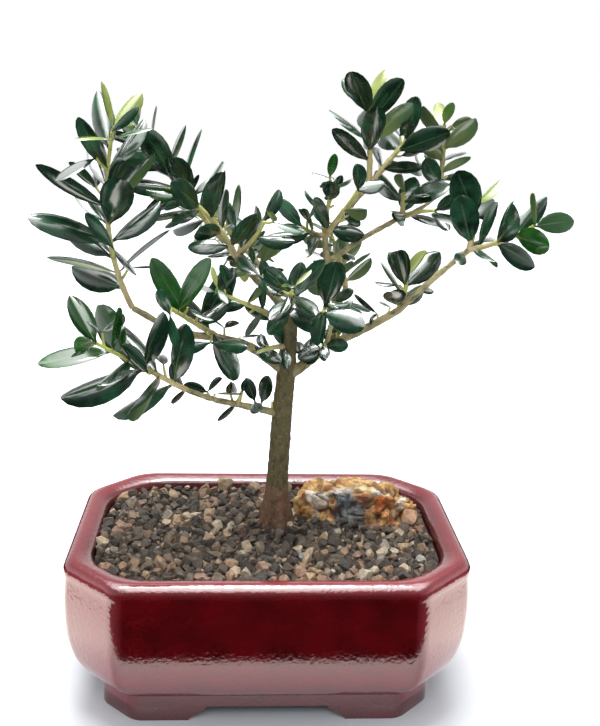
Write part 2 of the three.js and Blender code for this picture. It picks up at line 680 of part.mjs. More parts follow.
function buildTree(group) {
  const rooms = [trunkSolid(GAP)];
  const wood = [trunkSolid(0)];
  addMesh(group, "trunk", wood[0], "trunk");
  for (const [name, bough] of Object.entries(BOUGHS)) {
    wood.push(growLimb(smoothLine(bough.line), { ...BOUGH, radii: bough.radii }, GAP, rooms));
    addMesh(group, name, wood.at(-1), "bough");
  }
  const shoots = SHOOTS.map((row) => ({ ...SHOOT_HABIT, ...row }));
  const stems = shoots.map((shoot) => growLimb(stemCurve(shoot), STEM, LEAF_GAP, rooms));
  const masses = [];
  shoots.forEach((shoot, k) => {
    const otherStems = stems.filter((stem, n) => n !== k);
    masses.push(buildMass(shoot, stems[k], [...wood, ...otherStems, ...masses]));
    addMesh(group, shoot.name, masses.at(-1), "leaf");
  });
}

const bonsai = new THREE.Group();
addMesh(bonsai, "pot", buildPot(), "pot");
addMesh(bonsai, "soil", buildSoil(), "soil");
addMesh(bonsai, "rock", rockSolid(0), "rock");
buildTree(bonsai);

// The origin lies under the middle of the whole plant's box
const box = new THREE.Box3().setFromObject(bonsai);
bonsai.position.set(-(box.min.x + box.max.x) / 2, -(box.min.y + box.max.y) / 2, -box.min.z);

export default bonsai;
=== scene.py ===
# Olive bonsai in a glazed pot with cut corners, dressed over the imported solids.
# Sizes are millimetres in the plant's own drawing frame, whose origin lies under the middle of the pot.
import json
import math

import bmesh
import bpy
import numpy as np
from mathutils import Matrix, Vector, noise

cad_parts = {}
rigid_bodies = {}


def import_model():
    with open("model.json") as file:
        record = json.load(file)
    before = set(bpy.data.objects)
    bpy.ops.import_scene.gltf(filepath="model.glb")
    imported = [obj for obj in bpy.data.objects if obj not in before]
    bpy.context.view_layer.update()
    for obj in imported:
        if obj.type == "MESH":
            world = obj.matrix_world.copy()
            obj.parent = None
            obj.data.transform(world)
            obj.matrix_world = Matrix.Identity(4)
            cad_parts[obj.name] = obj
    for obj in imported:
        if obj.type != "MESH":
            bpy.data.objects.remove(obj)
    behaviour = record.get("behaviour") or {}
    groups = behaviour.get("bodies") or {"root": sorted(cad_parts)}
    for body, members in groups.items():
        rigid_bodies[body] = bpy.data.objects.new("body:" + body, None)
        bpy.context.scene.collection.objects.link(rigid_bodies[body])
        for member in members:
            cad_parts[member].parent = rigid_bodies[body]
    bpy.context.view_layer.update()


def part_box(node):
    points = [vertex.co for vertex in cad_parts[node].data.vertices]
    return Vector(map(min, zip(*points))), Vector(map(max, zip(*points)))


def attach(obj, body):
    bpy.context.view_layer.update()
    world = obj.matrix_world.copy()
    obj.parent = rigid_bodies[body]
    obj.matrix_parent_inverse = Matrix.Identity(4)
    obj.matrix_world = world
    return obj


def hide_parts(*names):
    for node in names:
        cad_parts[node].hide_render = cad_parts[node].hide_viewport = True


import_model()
MM = 0.001

# Photograph's camera: place in millimetres, angles in degrees, focal length and frame in pixels
CAMERA_PLACE = (-16.2, -503.2, 312.4)
CAMERA_DOWN = 15.52
CAMERA_YAW = -3.58
CAMERA_ROLL = 1.67
FOCAL_PIXELS = 1000
FRAME_PIXELS = (600, 726)
SENSOR_MM = 36
CAMERA_NEAR = 0.01

# Pot sizes
RIM_LENGTH = 203
RIM_WIDTH = 146
CORNER_CUT = 27
CORNER_SOFTNESS = 5
OPENING_SOFTNESS = 15
CORNER_STEPS = 7
CORNER_LIMIT = 0.45
GROUND = -2
FOOT_TOP = 6
FOOT_INSET = 15.5
FOOT_INNER_INSET = 31
ARCH_FRONT_HALF = 40
ARCH_SIDE_HALF = 24
ARCH_FLARE = 9
ARCH_STEPS = 10
FOOT_SOFTNESS = 0.9
FOOT_SOFT_STEPS = 3
FOOT_SOFT_ANGLE = 40
POT_SHARP_ANGLE = 50

# Pot wall from the step above the feet to the lip: height, and how far it lies inside the rim's outline
POT_BASE = [(6, 15.45), (12.4, 15.2)]
POT_WALL = [(13.4, 13.6), (17, 9), (22.5, 4.7), (30, 1.3), (42, -1.3), (58, -2), (71, -1.3), (75, -1.6)]
POT_LIP = [(77.4, -1.6), (79.3, -1), (80.8, 0.2), (81.7, 1.7), (82, 3.3), (81.7, 5.2), (80.9, 8), (80.1, 10),
           (78.6, 11)]
POT_INSIDE = [(70, 11.2), (44, 12), (24, 17), (16.5, 24)]
WALL_STEPS = 4

# Gravel sizes. The hair is the slack for rounding where a place is tested against an outline
HAIR = 0.000001
SOIL_LEVEL = 75.6
SOIL_EDGE_INSET = 12.4
SOIL_MOUND_RADIUS = 42
SOIL_MOUND_RISE = 3.1
SOIL_CELL = 1.5
# Damp bed under the grains: gap to the pot, and its rings as shares of the way from trunk to edge
BED_GAP = 0.3
BED_RINGS = (0.95, 0.85, 0.7, 0.55, 0.4, 0.25, 0.12)
# Grains: hulls of a few points, flattened, turned by chance and strewn over the bed
GRAIN_SHAPES = 9
GRAIN_POINTS = 18
GRAIN_FLATNESS = (1, 0.8, 0.66)
GRAIN_SHARP = 0.3
GRAIN_TILT = 1.2
GRAIN_SOFT_ANGLE = 26
GRAIN_INSET = 14
GRAIN_FROM_TRUNK = 8.6
GRAIN_FROM_ROCK = 0.92
GRAIN_DENSITY = 1500000
GRAIN_SEED = 31
# Single stones near the back rim and by the rock's right end: place, half size and seed
CHIPS = {
    "stone_chip": ((-24, 56, 80.5), (6.5, 3.2, 6), 12),
    "pink_stone": ((79, 7, 82.5), (5.2, 4.2, 6.2), 4),
}
CHIP_SHARP = 0.2
# Main stones, as in the part: a loose grid, their half sizes, and the room they keep from rim, trunk and rock
STONE_ROWS = (5, 3)
STONE_SPACING = 18
STONE_SHIFT = 4
STONE_TILT = 0.9
STONE_HALF = (5.2, 4.4, 3)
STONE_VARIES = 0.2
STONE_INSET = 18
STONE_FROM_TRUNK = 20
STONE_FROM_ROCK = 1.45
STONE_SEED = 9
# Layers of grains: name, lift above the bed, spacing, smallest and largest radius, seed
GRAVEL_LAYERS = [("gravel_coarse", 1.6, 6.4, 2.4, 5.4, 3), ("gravel_fine", 0, 3.6, 1.4, 3, 8)]

# Rock sizes, as in the part. Waves roughen it: turns along the three axes, shift and share
ROCK_SPOT = (52, 21, 76.4)
ROCK_HALF = (32, 15.5, 14.5)
ROCK_BLOCK = 0.62
ROCK_TURN = -0.06
ROCK_RELIEF = 0.08
ROCK_WAVES = [((5, 0, 0), 1, 1), ((0, 6, 4), 2, 1), ((11, 0, -7), 0, 0.6)]
ROCK_CUT = 0.35
ROCK_SLOPE = 0.22
# Finer shape of the rock, only in the scene: broken faces with cracks round them, lumps and a worn top
ROCK_DETAIL = 6
ROCK_LEDGE = 8.5
ROCK_CELL = 7.3
ROCK_STEP = 3.2
ROCK_TILT = 7
ROCK_CRACK = 2.4
ROCK_CRACK_WIDTH = 0.14
ROCK_LUMP = 5
ROCK_LUMP_NOISE = (0.7, 2.2, 5, 0.6)
ROCK_LUMP_MIDDLE = 0.9
ROCK_ROUGH = 1.5
ROCK_LEAST_RISE = 0.01
ROCK_TOP = 16.5
ROCK_WORN = 0.6

# Wood sizes
ROOT_RADIUS = 9.6
ROOT_RISE = 13
ROOT_FADE = 1.5
ROOT_LOBES = 5
ROOT_LOBE_DEPTH = 0.2
TRUNK_RADII = (5.6, 3.2)
TRUNK_SIDES = 40
TRUNK_SUNK = 2.5
LIMB_STEPS = 24
LIMB_SIDES = 12
# Bark relief, deeper on old wood: radii of young and of old wood, and size of the ridges
BARK_VOXEL = 0.55
BARK_RELIEF = 0.34
BARK_LEAST = 0.25
BARK_NOISE = (0.8, 2.1, 3)
BARK_GRAIN = 1.3
BARK_STRETCH = 0.72
BARK_LUMP = 3.4
YOUNG_WOOD = 1.2
OLD_WOOD = 6.5
# Knobs on the trunk: height, direction in degrees from the right, radius
KNOBS = [(131, 250, 1.5), (150, 300, 1.6), (154, 200, 1.3)]
KNOB_LEAN = 0.3
KNOB_SUNK = 1.5
KNOB_REACH = 0.6
KNOB_TIP = 0.7
# Stems of the shoots, swollen at each pair of leaves, and side twigs: radii at both ends
STEM_RADII = (1.65, 0.85)
STEM_STEPS = 48
STEM_SAMPLES = 5
NODE_SWELL = 0.22
NODE_LENGTH = 1.1
TWIG_RADII = (0.85, 0.55)
TWIG_STEPS = 6
TWIG_SIDES = 6
TWIG_BEND = 0.06
TWIG_AGE = 0.55
# Rootlets at the trunk's foot
ROOTLETS = 13
ROOTLET_SEED = 5
ROOTLET_STEPS = 9
ROOTLET_LENGTH = (7, 20)
ROOTLET_RADII = (0.55, 0.16)
ROOTLET_RISE = 2.2
ROOTLET_FROM = 0.8
ROOTLET_SHIFT = 0.3
ROOTLET_WAVE = 0.4
ROOTLET_WIND = 0.16

# Middle of the trunk from the gravel up
TRUNK_LINE = [(4, 4, 79), (5, 4, 107), (7, 4, 146), (8.5, 4, 170), (9.5, 4, 190), (9, 4, 201)]

# Boughs: the line of each from where it grows to its tip, and its radius at both ends
BOUGHS = {
    "low_left_inner_bough": ([(6, 4, 143), (-6, 0, 147), (-17, -5, 151)], (2, 1.7)),
    "low_left_outer_bough": ([(-17, -5, 151), (-30, -15, 157), (-43, -25, 165)], (1.7, 1.4)),
    "left_inner_bough": ([(8, 4, 166), (-10, 1, 180), (-27, -2, 186)], (2.6, 2.1)),
    "left_outer_bough": ([(-27, -2, 186), (-48, -6, 190), (-70, -11, 203)], (2.1, 1.5)),
    "leader_bough": ([(9, 4, 199), (-6, 9, 213), (-19, 13, 226)], (2.6, 1.9)),
    "right_fork_bough": ([(9, 4, 164), (20, 2, 173), (29, 0, 182)], (3, 2.5)),
    "right_inner_bough": ([(29, 0, 182), (47, -5, 192), (64, -11, 204)], (2.3, 1.8)),
    "right_outer_bough": ([(64, -11, 204), (80, -17, 222), (95, -22, 237)], (1.8, 1.4)),
    "upper_right_lower_bough": ([(29, 0, 182), (37, 5, 194), (31, 11, 209)], (2.2, 2)),
    "upper_right_middle_bough": ([(31, 11, 209), (29, 17, 222), (28, 23, 236)], (2, 1.7)),
    "upper_right_upper_bough": ([(28, 23, 236), (40, 27, 250), (51, 31, 262)], (1.8, 1.3)),
    "middle_right_inner_bough": ([(30, 18, 223), (50, 29, 235), (71, 38, 245)], (1.6, 1.3)),
    "middle_right_outer_bough": ([(71, 38, 245), (81, 42, 249), (91, 45, 256)], (1.3, 1)),
    "back_bough": ([(9, 5, 184), (4, 28, 200), (-4, 48, 212)], (2.2, 1.4)),
    "back_right_bough": ([(29, 1, 182), (36, 28, 194), (43, 50, 203)], (1.9, 1.3)),
}

# Dice, as in the part
DICE_RANGE = 2 ** 32
DICE_START = 2654435761
DICE_TIMES = 1664525
DICE_PLUS = 1013904223

# Growing habit, as in the part: how leaves and side twigs vary along a shoot, angles in degrees
SIDE_SWITCH = 0.75
PAIR_TURN = 90
ROLL_VARIES = 20
SPREAD_VARIES = 12
TWIST_VARIES = 50
LENGTH_VARIES = 0.16
WIDTH_VARIES = 0.1
FACE_UP = 0.6
SMALLEST_LEAF = 0.72
SWELL_RANGE = (0.15, 0.9)
TWIG_LENGTH = 0.28
TWIG_LEAF = 0.62
TWIG_FORWARD = 0.6
TWIG_ASIDE = 0.8
TWIG_VARIES = 30
TWIG_SPREAD = 0.5
LEAF_ARCH = 0.1
LEAF_DROOP = 0.06
# Room that leaves keep from wood and from each other, and the places on a blade where it is tested
LEAF_ROOM = 0.8
LEAF_SIDE_ROOM = 0.3
WOOD_ROOM = 0.7
STEM_ROOM = (1.25, 0.62)
SAME_SPOT = 0.5
NEAR_BY = 2
BLADE_RANGE = (0.1, 1.02)
TEST_SHARES = np.linspace(0.18, 1, 10)
TEST_ASIDES = np.linspace(-0.95, 0.95, 5)
# Only in the scene: finer twigs between the pairs of leaves, and spurs along the boughs
FINE_SEED = 1000
FINE_TWIGS = 0.6
FINE_LENGTH = 0.2
FINE_LEAF = 0.48
SPUR_SEED = 3000
SPUR_RANGE = (0.1, 0.95)
SPUR_LENGTH = (3, 7)
SPUR_LEAF = (10, 16)
SPUR_SLIM = 0.5
SPUR_LEAN = 0.35
SPUR_ROUND = 110
# Ways that leaves in front and at the back turn their glossy side, and the share that stays as it grew
LIGHT_SEED = 2000
LIGHT_WAY = (0, -0.88, 0.48)
BACK_LIGHT_WAY = (0, 0.6, 0.8)
BACK_FROM = 46
UNDERSIDES = 0.07

# Leaf blades, as shares of a leaf's length and width
LEAF_SHAPES = 6
LEAF_SEED = 7
LEAF_SHARES = (0, 0.1, 0.22, 0.38, 0.55, 0.71, 0.85, 0.95, 1)
LEAF_ASIDES = (-1, -0.55, 0, 0.55, 1)
LEAF_STALK = 0.07
LEAF_STALK_END = 0.14
LEAF_STALK_WIDTH = 0.1
LEAF_STALK_THICK = 0.03
LEAF_BLADE_THICK = 0.012
LEAF_ROOT_CURVE = 0.66
LEAF_TIP_CURVE = 0.56
LEAF_FOLD = (0.1, 0.3)
LEAF_CAMBER = (0.2, 0.45)
LEAF_CURL = 0.07
LEAF_SWAY = 0.12

# Shoots, as in the part: tip and bow of the stem, pairs of leaves, their length and slimness, roll and seed.
# first: share of the stem below the first pair. wide, narrow: spread of leaves at root and tip, in degrees.
# last: size of the last pair. twigs: chance of a side twig. spurs: their number. fresh, young: leaf shares
SHOOT_HABIT = {
    "bow": (0, 0, 0), "first": 0.14, "wide": 64, "narrow": 36, "last": 0.8, "twigs": 0, "spurs": 0,
    "fresh": 0.08, "young": 0.06,
}
SHOOTS = {
    "far_left_foliage": dict(
        on="left_outer_bough", tip=(-77, -17, 290), bow=(-14, 0, -8), pairs=10, leaf=36, slim=0.36,
        roll=120, seed=388, twigs=0.25, fresh=0.06, young=0.12),
    "low_left_foliage": dict(
        on="low_left_outer_bough", tip=(-83, -48, 194), pairs=6, leaf=36, slim=0.38, roll=165, seed=837,
        wide=70, narrow=48, last=1, fresh=0.4, young=0, spurs=4),
    "right_foliage": dict(
        on="right_outer_bough", tip=(123, -34, 251), bow=(0, 0, -3), pairs=4, leaf=27, slim=0.5, roll=120,
        seed=127, narrow=50, last=1.05, twigs=0.2, fresh=0.4, young=0, spurs=2),
    "top_spire_foliage": dict(
        on="upper_right_upper_bough", tip=(49, 37, 304), bow=(2, 0, 0), pairs=7, leaf=30, slim=0.46, roll=165,
        seed=322, first=0.3, twigs=0.3),
    "leader_foliage": dict(
        on="leader_bough", tip=(-70, 25, 290), bow=(-1, 0, -3), pairs=10, leaf=30, slim=0.38, roll=120,
        seed=382, first=0.3, twigs=0.5, spurs=5),
    "left_front_foliage": dict(
        on="left_inner_bough", tip=(-52, -39, 211), pairs=5, leaf=35, slim=0.36, roll=90, seed=145, wide=75,
        narrow=55, last=1, twigs=0.3, fresh=0.3, young=0, spurs=5),
    "front_rosette": dict(
        on="upper_right_lower_bough", tip=(24, -29, 206), pairs=3, leaf=23, slim=0.5, roll=75, seed=375,
        first=0.5, wide=74, narrow=68, last=1.05, spurs=4),
    "middle_right_spire_foliage": dict(
        on="middle_right_outer_bough", tip=(93, 49, 294), bow=(2, 0, 0), pairs=6, leaf=22, slim=0.54, roll=30,
        seed=345, twigs=0.2),
    "top_right_foliage": dict(
        on="upper_right_upper_bough", tip=(75, 42, 290), pairs=5, leaf=26, slim=0.48, roll=120, seed=30,
        first=0.3, twigs=0.3),
    "right_upper_foliage": dict(
        on="right_outer_bough", tip=(99, -13, 258), bow=(2, 0, 0), pairs=4, leaf=26, slim=0.54, roll=60,
        seed=677, young=0.15),
    "leader_side_foliage": dict(
        on="leader_bough", tip=(-44, 4, 257), bow=(4, -4, 4), pairs=5, leaf=28, slim=0.42, roll=165, seed=365,
        twigs=0.3),
    "right_inner_foliage": dict(
        on="right_inner_bough", tip=(67, -11, 221), bow=(2, 0, 0), pairs=4, leaf=25, slim=0.46, roll=45,
        seed=902, young=0.2, spurs=6),
    "leader_right_foliage": dict(
        on="leader_bough", tip=(-5, -3, 246), bow=(3, -4, 0), pairs=3, leaf=25, slim=0.44, roll=105, seed=622,
        twigs=0.4),
    "inner_spray": dict(
        on="upper_right_middle_bough", tip=(15, 13, 242), bow=(0, 0, -2), pairs=3, leaf=26, slim=0.44,
        roll=60, seed=653, wide=50, narrow=28),
    "upper_right_inner_foliage": dict(
        on="upper_right_middle_bough", tip=(32, 21, 262), bow=(-3, 0, 0), pairs=4, leaf=19, slim=0.5,
        roll=60, seed=694, twigs=0.3),
    "upper_right_front_foliage": dict(
        on="upper_right_middle_bough", tip=(43, 11, 261), bow=(0, -3, 0), pairs=3, leaf=22, slim=0.52,
        roll=15, seed=56, twigs=0.2),
    "middle_right_upper_foliage": dict(
        on="middle_right_inner_bough", tip=(70, 32, 259), pairs=3, leaf=25, slim=0.5, roll=60, seed=487),
    "middle_right_lower_foliage": dict(
        on="middle_right_inner_bough", tip=(85, 18, 251), bow=(0, 0, 2), pairs=2, leaf=28, slim=0.42,
        roll=90, seed=395),
    "centre_front_foliage": dict(
        start=(9, 4, 201), tip=(7, -35, 216), bow=(4, 0, 4), pairs=5, leaf=23, slim=0.42, roll=150, seed=467,
        twigs=0.5),
    "centre_left_foliage": dict(
        start=(8, 4, 192), tip=(-28, -22, 214), bow=(0, 0, 2), pairs=5, leaf=20, slim=0.36, roll=120,
        seed=820, twigs=0.5),
    "fork_tuft": dict(
        on="right_fork_bough", tip=(26, -14, 186), pairs=3, leaf=14, slim=0.58, roll=15, seed=517, wide=75,
        narrow=60, last=1, spurs=7),
    "fork_upper_tuft": dict(
        on="right_fork_bough", tip=(31, -5, 199), pairs=4, leaf=19, slim=0.4, roll=105, seed=264),
    "trunk_tuft": dict(
        start=(8, 4, 180), tip=(-7, -19, 183), bow=(0, 0, 2), pairs=2, leaf=13, slim=0.5, roll=15, seed=788),
    "low_left_tuft": dict(
        on="low_left_inner_bough", tip=(-15, -13, 160), pairs=2, leaf=10, slim=0.5, roll=0, seed=79,
        spurs=4),
    "back_left_foliage": dict(
        on="back_bough", tip=(-31, 55, 240), bow=(0, 0, 4), pairs=6, leaf=28, slim=0.4, roll=90, seed=871,
        twigs=0.4),
    "back_foliage": dict(
        on="back_bough", tip=(-17, 70, 223), bow=(0, 0, 4), pairs=5, leaf=26, slim=0.4, roll=15, seed=865,
        twigs=0.4),
    "back_right_foliage": dict(
        on="back_right_bough", tip=(40, 71, 216), bow=(0, 0, 4), pairs=5, leaf=25, slim=0.44, roll=165,
        seed=134, twigs=0.4),
    "back_middle_foliage": dict(
        on="back_right_bough", tip=(34, 56, 233), bow=(0, 0, 4), pairs=4, leaf=23, slim=0.44, roll=30,
        seed=77, twigs=0.4),
}

# Leaf finish, with colours as red, green, blue and cover: dark and light on top, and the underside's
LEAF_COLOURS = {
    "old": ((0.001, 0.013, 0.005, 1), (0.016, 0.085, 0.038, 1), (0.16, 0.2, 0.05, 1)),
    "fresh": ((0.002, 0.04, 0.002, 1), (0.014, 0.13, 0.01, 1), (0.24, 0.32, 0.06, 1)),
    "young": ((0.22, 0.28, 0.06, 1), (0.38, 0.43, 0.14, 1), (0.3, 0.35, 0.11, 1)),
}
LEAF_RIB = (0.12, 0.2, 0.08, 1)
LEAF_UNDER_RIB = (0.36, 0.4, 0.18, 1)
LEAF_RIB_WIDTH = (0.1, 0)
LEAF_RIB_FADE = (1, 0.2, 0.05, 0.45)
LEAF_TIP_FADE = (0.2, 1, 0, 0.8)
LEAF_CLOUDS = (90, 3, 0.35, 0.7)
LEAF_UNDER_CLOUDS = 0.5
LEAF_GRAIN = (900, 2, 0.12, 0.0002)
LEAF_GLOSS = (0.26, 0.36)
LEAF_SHEEN = {"IOR": 1.5, "Coat Weight": 1, "Coat Roughness": 0.14}

# Soft patches, fine relief and roughness of the other materials. Patches: features to the metre, detail, and
# the range of the cloud that fades in. Relief: features to the metre, detail, strength, and depth in metres.
# Roughness: off the patches and on them
FINISHES = {
    "twig": ((260, 3, 0.35, 0.65), (1400, 3, 0.5, 0.0003), (0.5, 0.75)),
    "bark": ((180, 4, 0.38, 0.62), (900, 4, 0.7, 0.0004), (0.62, 0.85)),
    "rootlet": ((300, 3, 0.4, 0.6), (1800, 2, 0.4, 0.0002), (0.7, 0.9)),
    "oxblood glaze": ((1500, 2, 0.5, 0.68), (480, 3, 0.34, 0.0006), (0.06, 0.16)),
    "gravel": ((420, 4, 0.35, 0.65), (900, 5, 0.9, 0.0008), (0.7, 0.95)),
    "damp soil": ((500, 5, 0.35, 0.65), (700, 5, 0.8, 0.0012), (0.85, 1)),
    "stone chip": ((260, 5, 0.35, 0.65), (900, 4, 0.6, 0.0005), (0.7, 0.95)),
    "ochre rock": ((240, 7, 0.4, 0.62), (330, 7, 1, 0.0024), (0.65, 0.9)),
}
FINISHES["pink stone"] = FINISHES["stone chip"]
# Materials of two colours, one off the patches and one on them
TWO_TONES = {
    "rootlet": ((0.42, 0.33, 0.22, 1), (0.2, 0.13, 0.08, 1)),
    "damp soil": ((0.02, 0.015, 0.011, 1), (0.06, 0.045, 0.034, 1)),
    "stone chip": ((0.5, 0.4, 0.28, 1), (0.3, 0.2, 0.12, 1)),
    "pink stone": ((0.8, 0.55, 0.38, 1), (0.55, 0.24, 0.12, 1)),
}
# Colours along a twig, by the wood's age and by a grain's tone
TWIG_STOPS = [(0, (0.42, 0.33, 0.18, 1)), (0.5, (0.46, 0.42, 0.16, 1)), (1, (0.42, 0.48, 0.1, 1))]
BARK_STOPS = [
    (0, (0.36, 0.31, 0.15, 1)), (0.3, (0.25, 0.21, 0.1, 1)), (0.6, (0.1, 0.085, 0.025, 1)),
    (0.85, (0.1, 0.078, 0.026, 1)), (1, (0.15, 0.068, 0.038, 1)),
]
GRAVEL_STOPS = [
    (0, (0.03, 0.027, 0.025, 1)), (0.25, (0.08, 0.064, 0.049, 1)), (0.5, (0.13, 0.1, 0.074, 1)),
    (0.68, (0.24, 0.185, 0.13, 1)), (0.78, (0.3, 0.175, 0.12, 1)), (0.87, (0.44, 0.3, 0.18, 1)),
    (0.95, (0.6, 0.5, 0.36, 1)), (1, (0.28, 0.27, 0.25, 1)),
]
# Colours laid over others: the largest share that each covers, and the colour
TWIG_SHADE = (0.45, (0.2, 0.16, 0.07, 1))
TWIG_FLECK = (0.5, (0.5, 0.44, 0.3, 1))
BARK_SHADE = (0.55, (0.06, 0.055, 0.02, 1))
BARK_CRACK = (0.7, (0.04, 0.03, 0.018, 1))
BARK_FLECK = (0.28, (0.34, 0.29, 0.18, 1))
GLAZE_POOL = (0.6, (0.075, 0.0005, 0.002, 1))
# Pale mauve where the glaze lies thin, and painted reflection of the bright floor and surroundings on the low
# wall, cut corners, feet and lip
GLAZE_THIN_AND_REFLECTION = (1, (0.5, 0.08, 0.1, 1))
GLAZE_SPECK = (0.22, (0.2, 0.006, 0.01, 1))
GLAZE_DOT = (0.5, (0.02, 0.001, 0.002, 1))
GRAVEL_DUST = (0.45, (0.06, 0.047, 0.036, 1))
# Dark colour of the damp places by the trunk and of the painted shadow under the rock
GRAVEL_DAMP_AND_SHADOW = (0.8, (0.014, 0.009, 0.006, 1))
ROCK_SHADE = (0.7, (0.07, 0.032, 0.015, 1))
ROCK_PIT = (0.5, (0.07, 0.032, 0.015, 1))
# Painted shade: dark brown down in the rock's hollows and cracks
ROCK_HOLLOW_SHADE = (0.95, (0.07, 0.032, 0.015, 1))
# Flecks: features to the metre, and size as a share of the room between them
TWIG_FLECKS = (900, 0.3)
BARK_FLECKS = (520, 0.35)
GLAZE_DOTS = (700, 0.28)
ROCK_PITS = (380, 0.3)
BARK_CRACK_RANGE = (0.45, 0.2)
# Painted shade in the rock's hollows: the relief where darkening starts and where it is full
ROCK_HOLLOW_SHADE_RANGE = (0.62, 0.36)

# Glaze: its darkest colour, its large pools, and how pale it is on feet, cut corners and up the wall, partly
# thin glaze and partly painted reflection
GLAZE_IOR = 1.8
GLAZE_DARK = (0.03, 0.0005, 0.001, 1)
GLAZE_POOLS = (60, 4, 0.35, 0.65)
FOOT_THIN_AND_REFLECTION = 0.08
CHAMFER_THIN_AND_REFLECTION = 0.32
WALL_THIN_AND_REFLECTION = [(0, 0.08), (13, 0.1), (30, 0.18), (38, 0.15), (45, 0), (76, 0), (80, 0.2), (82, 0.45)]

# Colours on the rock, each in two tones, and clouds of stain and shade
ROCK_COLOURS = {
    "gold": ((0.46, 0.22, 0.06, 1), (0.88, 0.6, 0.28, 1)),
    "slate": ((0.025, 0.034, 0.042, 1), (0.3, 0.32, 0.32, 1)),
    "rust": ((0.26, 0.05, 0.012, 1), (0.62, 0.17, 0.04, 1)),
    "orange": ((0.38, 0.13, 0.03, 1), (0.8, 0.45, 0.17, 1)),
    "straw": ((0.78, 0.5, 0.2, 1), (0.98, 0.86, 0.58, 1)),
    "cream": ((0.7, 0.54, 0.38, 1), (0.98, 0.93, 0.83, 1)),
}
ROCK_STAINS = (150, 6, 0.54, 0.64)
ROCK_STAIN = 0.7
ROCK_SHADES = (200, 6, 0.52, 0.7)
# Patches on the rock: place, radius and colour, each laid over the ones before
ROCK_PATCHES = [
    ((44, 8, 86), 12, "slate"), ((47, 4, 81), 9, "slate"), ((38, 9, 94), 6, "slate"),
    ((63, 6, 89), 8, "rust"), ((64, 4, 81), 8, "orange"), ((53, 6, 94), 5, "rust"),
    ((26, 12, 91), 7, "cream"), ((30, 11, 87), 6, "cream"), ((38, 17, 96), 5, "cream"),
    ((46, 17, 96), 5, "cream"), ((58, 19, 97), 8, "straw"), ((66, 15, 95), 6, "cream"),
    ((78, 19, 89), 4, "cream"), ((74, 9, 87), 3.6, "cream"), ((72, 7, 83), 3.2, "cream"),
]
# Dark places on the gravel: damp by the trunk's foot, and painted shadow under the rock's front edge. Place
# and radius
DAMP_AND_SHADOW_SPOTS = [((-7, -5, 78), 17), ((10, -8, 78), 12), ((29, 4, 77), 10), ((46, -1, 77), 8)]
# Edge of a single patch: the cloud that makes it ragged, how far it reaches, and the share that fades
SPOT_CLOUD = (130, 5)
SPOT_RAGGED = 2.6
SPOT_FADE = 0.16

# Floor: its colours, and the glow that whitens it away from the pot
FLOOR_HALF = 2500
FLOOR_COLOURS = ((0.7, 0.72, 0.75, 1), (0.66, 0.69, 0.73, 1))
FLOOR_PATCHES = (6, 2, 0.3, 0.7)
FLOOR_ROUGH = (0.5, 0.6)
FLOOR_GLOW = (0, 0.7)
FLOOR_GLOW_REACH = (5, 95)
# Floor in the pot's gloss: half its length and width, its reach, and light and colour near and at the reach
MIRRORED_HALF = (275, 118)
MIRRORED_REACH = 75
MIRRORED_FLOOR = (0.45, 2.9)
MIRRORED_COLOURS = ((0.9, 0.93, 1, 1), (1, 0.96, 0.88, 1))
# Surroundings in the gloss: dark in front and bright behind, dimmer higher up, black below, bright overhead
WORLD_LEAN = 0.9
WORLD_FADE = (-0.9, 0.1)
MIRROR_LOW = (0.01, 1.2)
MIRROR_DIM = (0.15, 0.5, 1, 0.4)
MIRROR_GROUND = (-0.08, 0)
MIRROR_OVERHEAD = (0.7, 0.95, 0, 7.5)
# Surroundings as light, from the horizon to overhead
WORLD_SOFT = (0.4, 1)
WORLD_WHITE = (1, 1, 1, 1)
WORLD_COOL = (0.95, 0.98, 1, 1)
# Softboxes: place and size in metres, power in watts
SOFTBOXES = {"top_softbox": ((-0.08, 0.05, 1.2), 0.6, 17), "front_softbox": ((-0.1, -0.85, 0.95), 0.6, 4)}
SOFTBOX_AIM = (0, 0, 0.15)


# Small helpers
def vec(values):
    return np.array(values, float)


def unit(v):
    return v / np.linalg.norm(v)


def mix(pair, share):
    return pair[0] + (pair[1] - pair[0]) * share


class Dice:
    """A small seeded source of numbers, so that the tree grows the same way every time."""

    def __init__(self, seed):
        self.state = seed * DICE_START % DICE_RANGE

    def next(self):
        self.state = (self.state * DICE_TIMES + DICE_PLUS) % DICE_RANGE
        return self.state / DICE_RANGE

    def around(self, spread):
        return (self.next() * 2 - 1) * spread

    def between(self, pair):
        return mix(pair, self.next())


def pot_centre():
    low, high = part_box("pot")
    return vec(((low[0] + high[0]) / 2, (low[1] + high[1]) / 2, low[2] - GROUND * MM))


POT_CENTRE = pot_centre()
UP = vec((0, 0, 1))


def placed(points):
    """Millimetres in the drawing frame to metres in the shared frame."""
    return np.asarray(points, float) * MM + POT_CENTRE


def smooth_line(points, steps):
    """A smooth curve through points, with a number of steps between neighbours."""
    p = vec(points)
    p = np.vstack([2 * p[0] - p[1], p, 2 * p[-1] - p[-2]])
    line = []
    for a, b, c, d in zip(p, p[1:], p[2:], p[3:]):
        for t in np.arange(steps) / steps:
            bend = (2 * a - 5 * b + 4 * c - d) * t * t + (3 * b - a - 3 * c + d) * t ** 3
            line.append((2 * b + (c - a) * t + bend) / 2)
    return np.array(line + [p[-2]])


# Making meshes and objects
def add_object(name, data, material=None):
    if material:
        data.materials.append(material)
    made = bpy.data.objects.new(name, data)
    bpy.context.scene.collection.objects.link(made)
    return made


def new_mesh(name, points, faces, edges=()):
    mesh = bpy.data.meshes.new(name)
    mesh.from_pydata([tuple(p) for p in points], list(edges), [tuple(f) for f in faces])
    return mesh


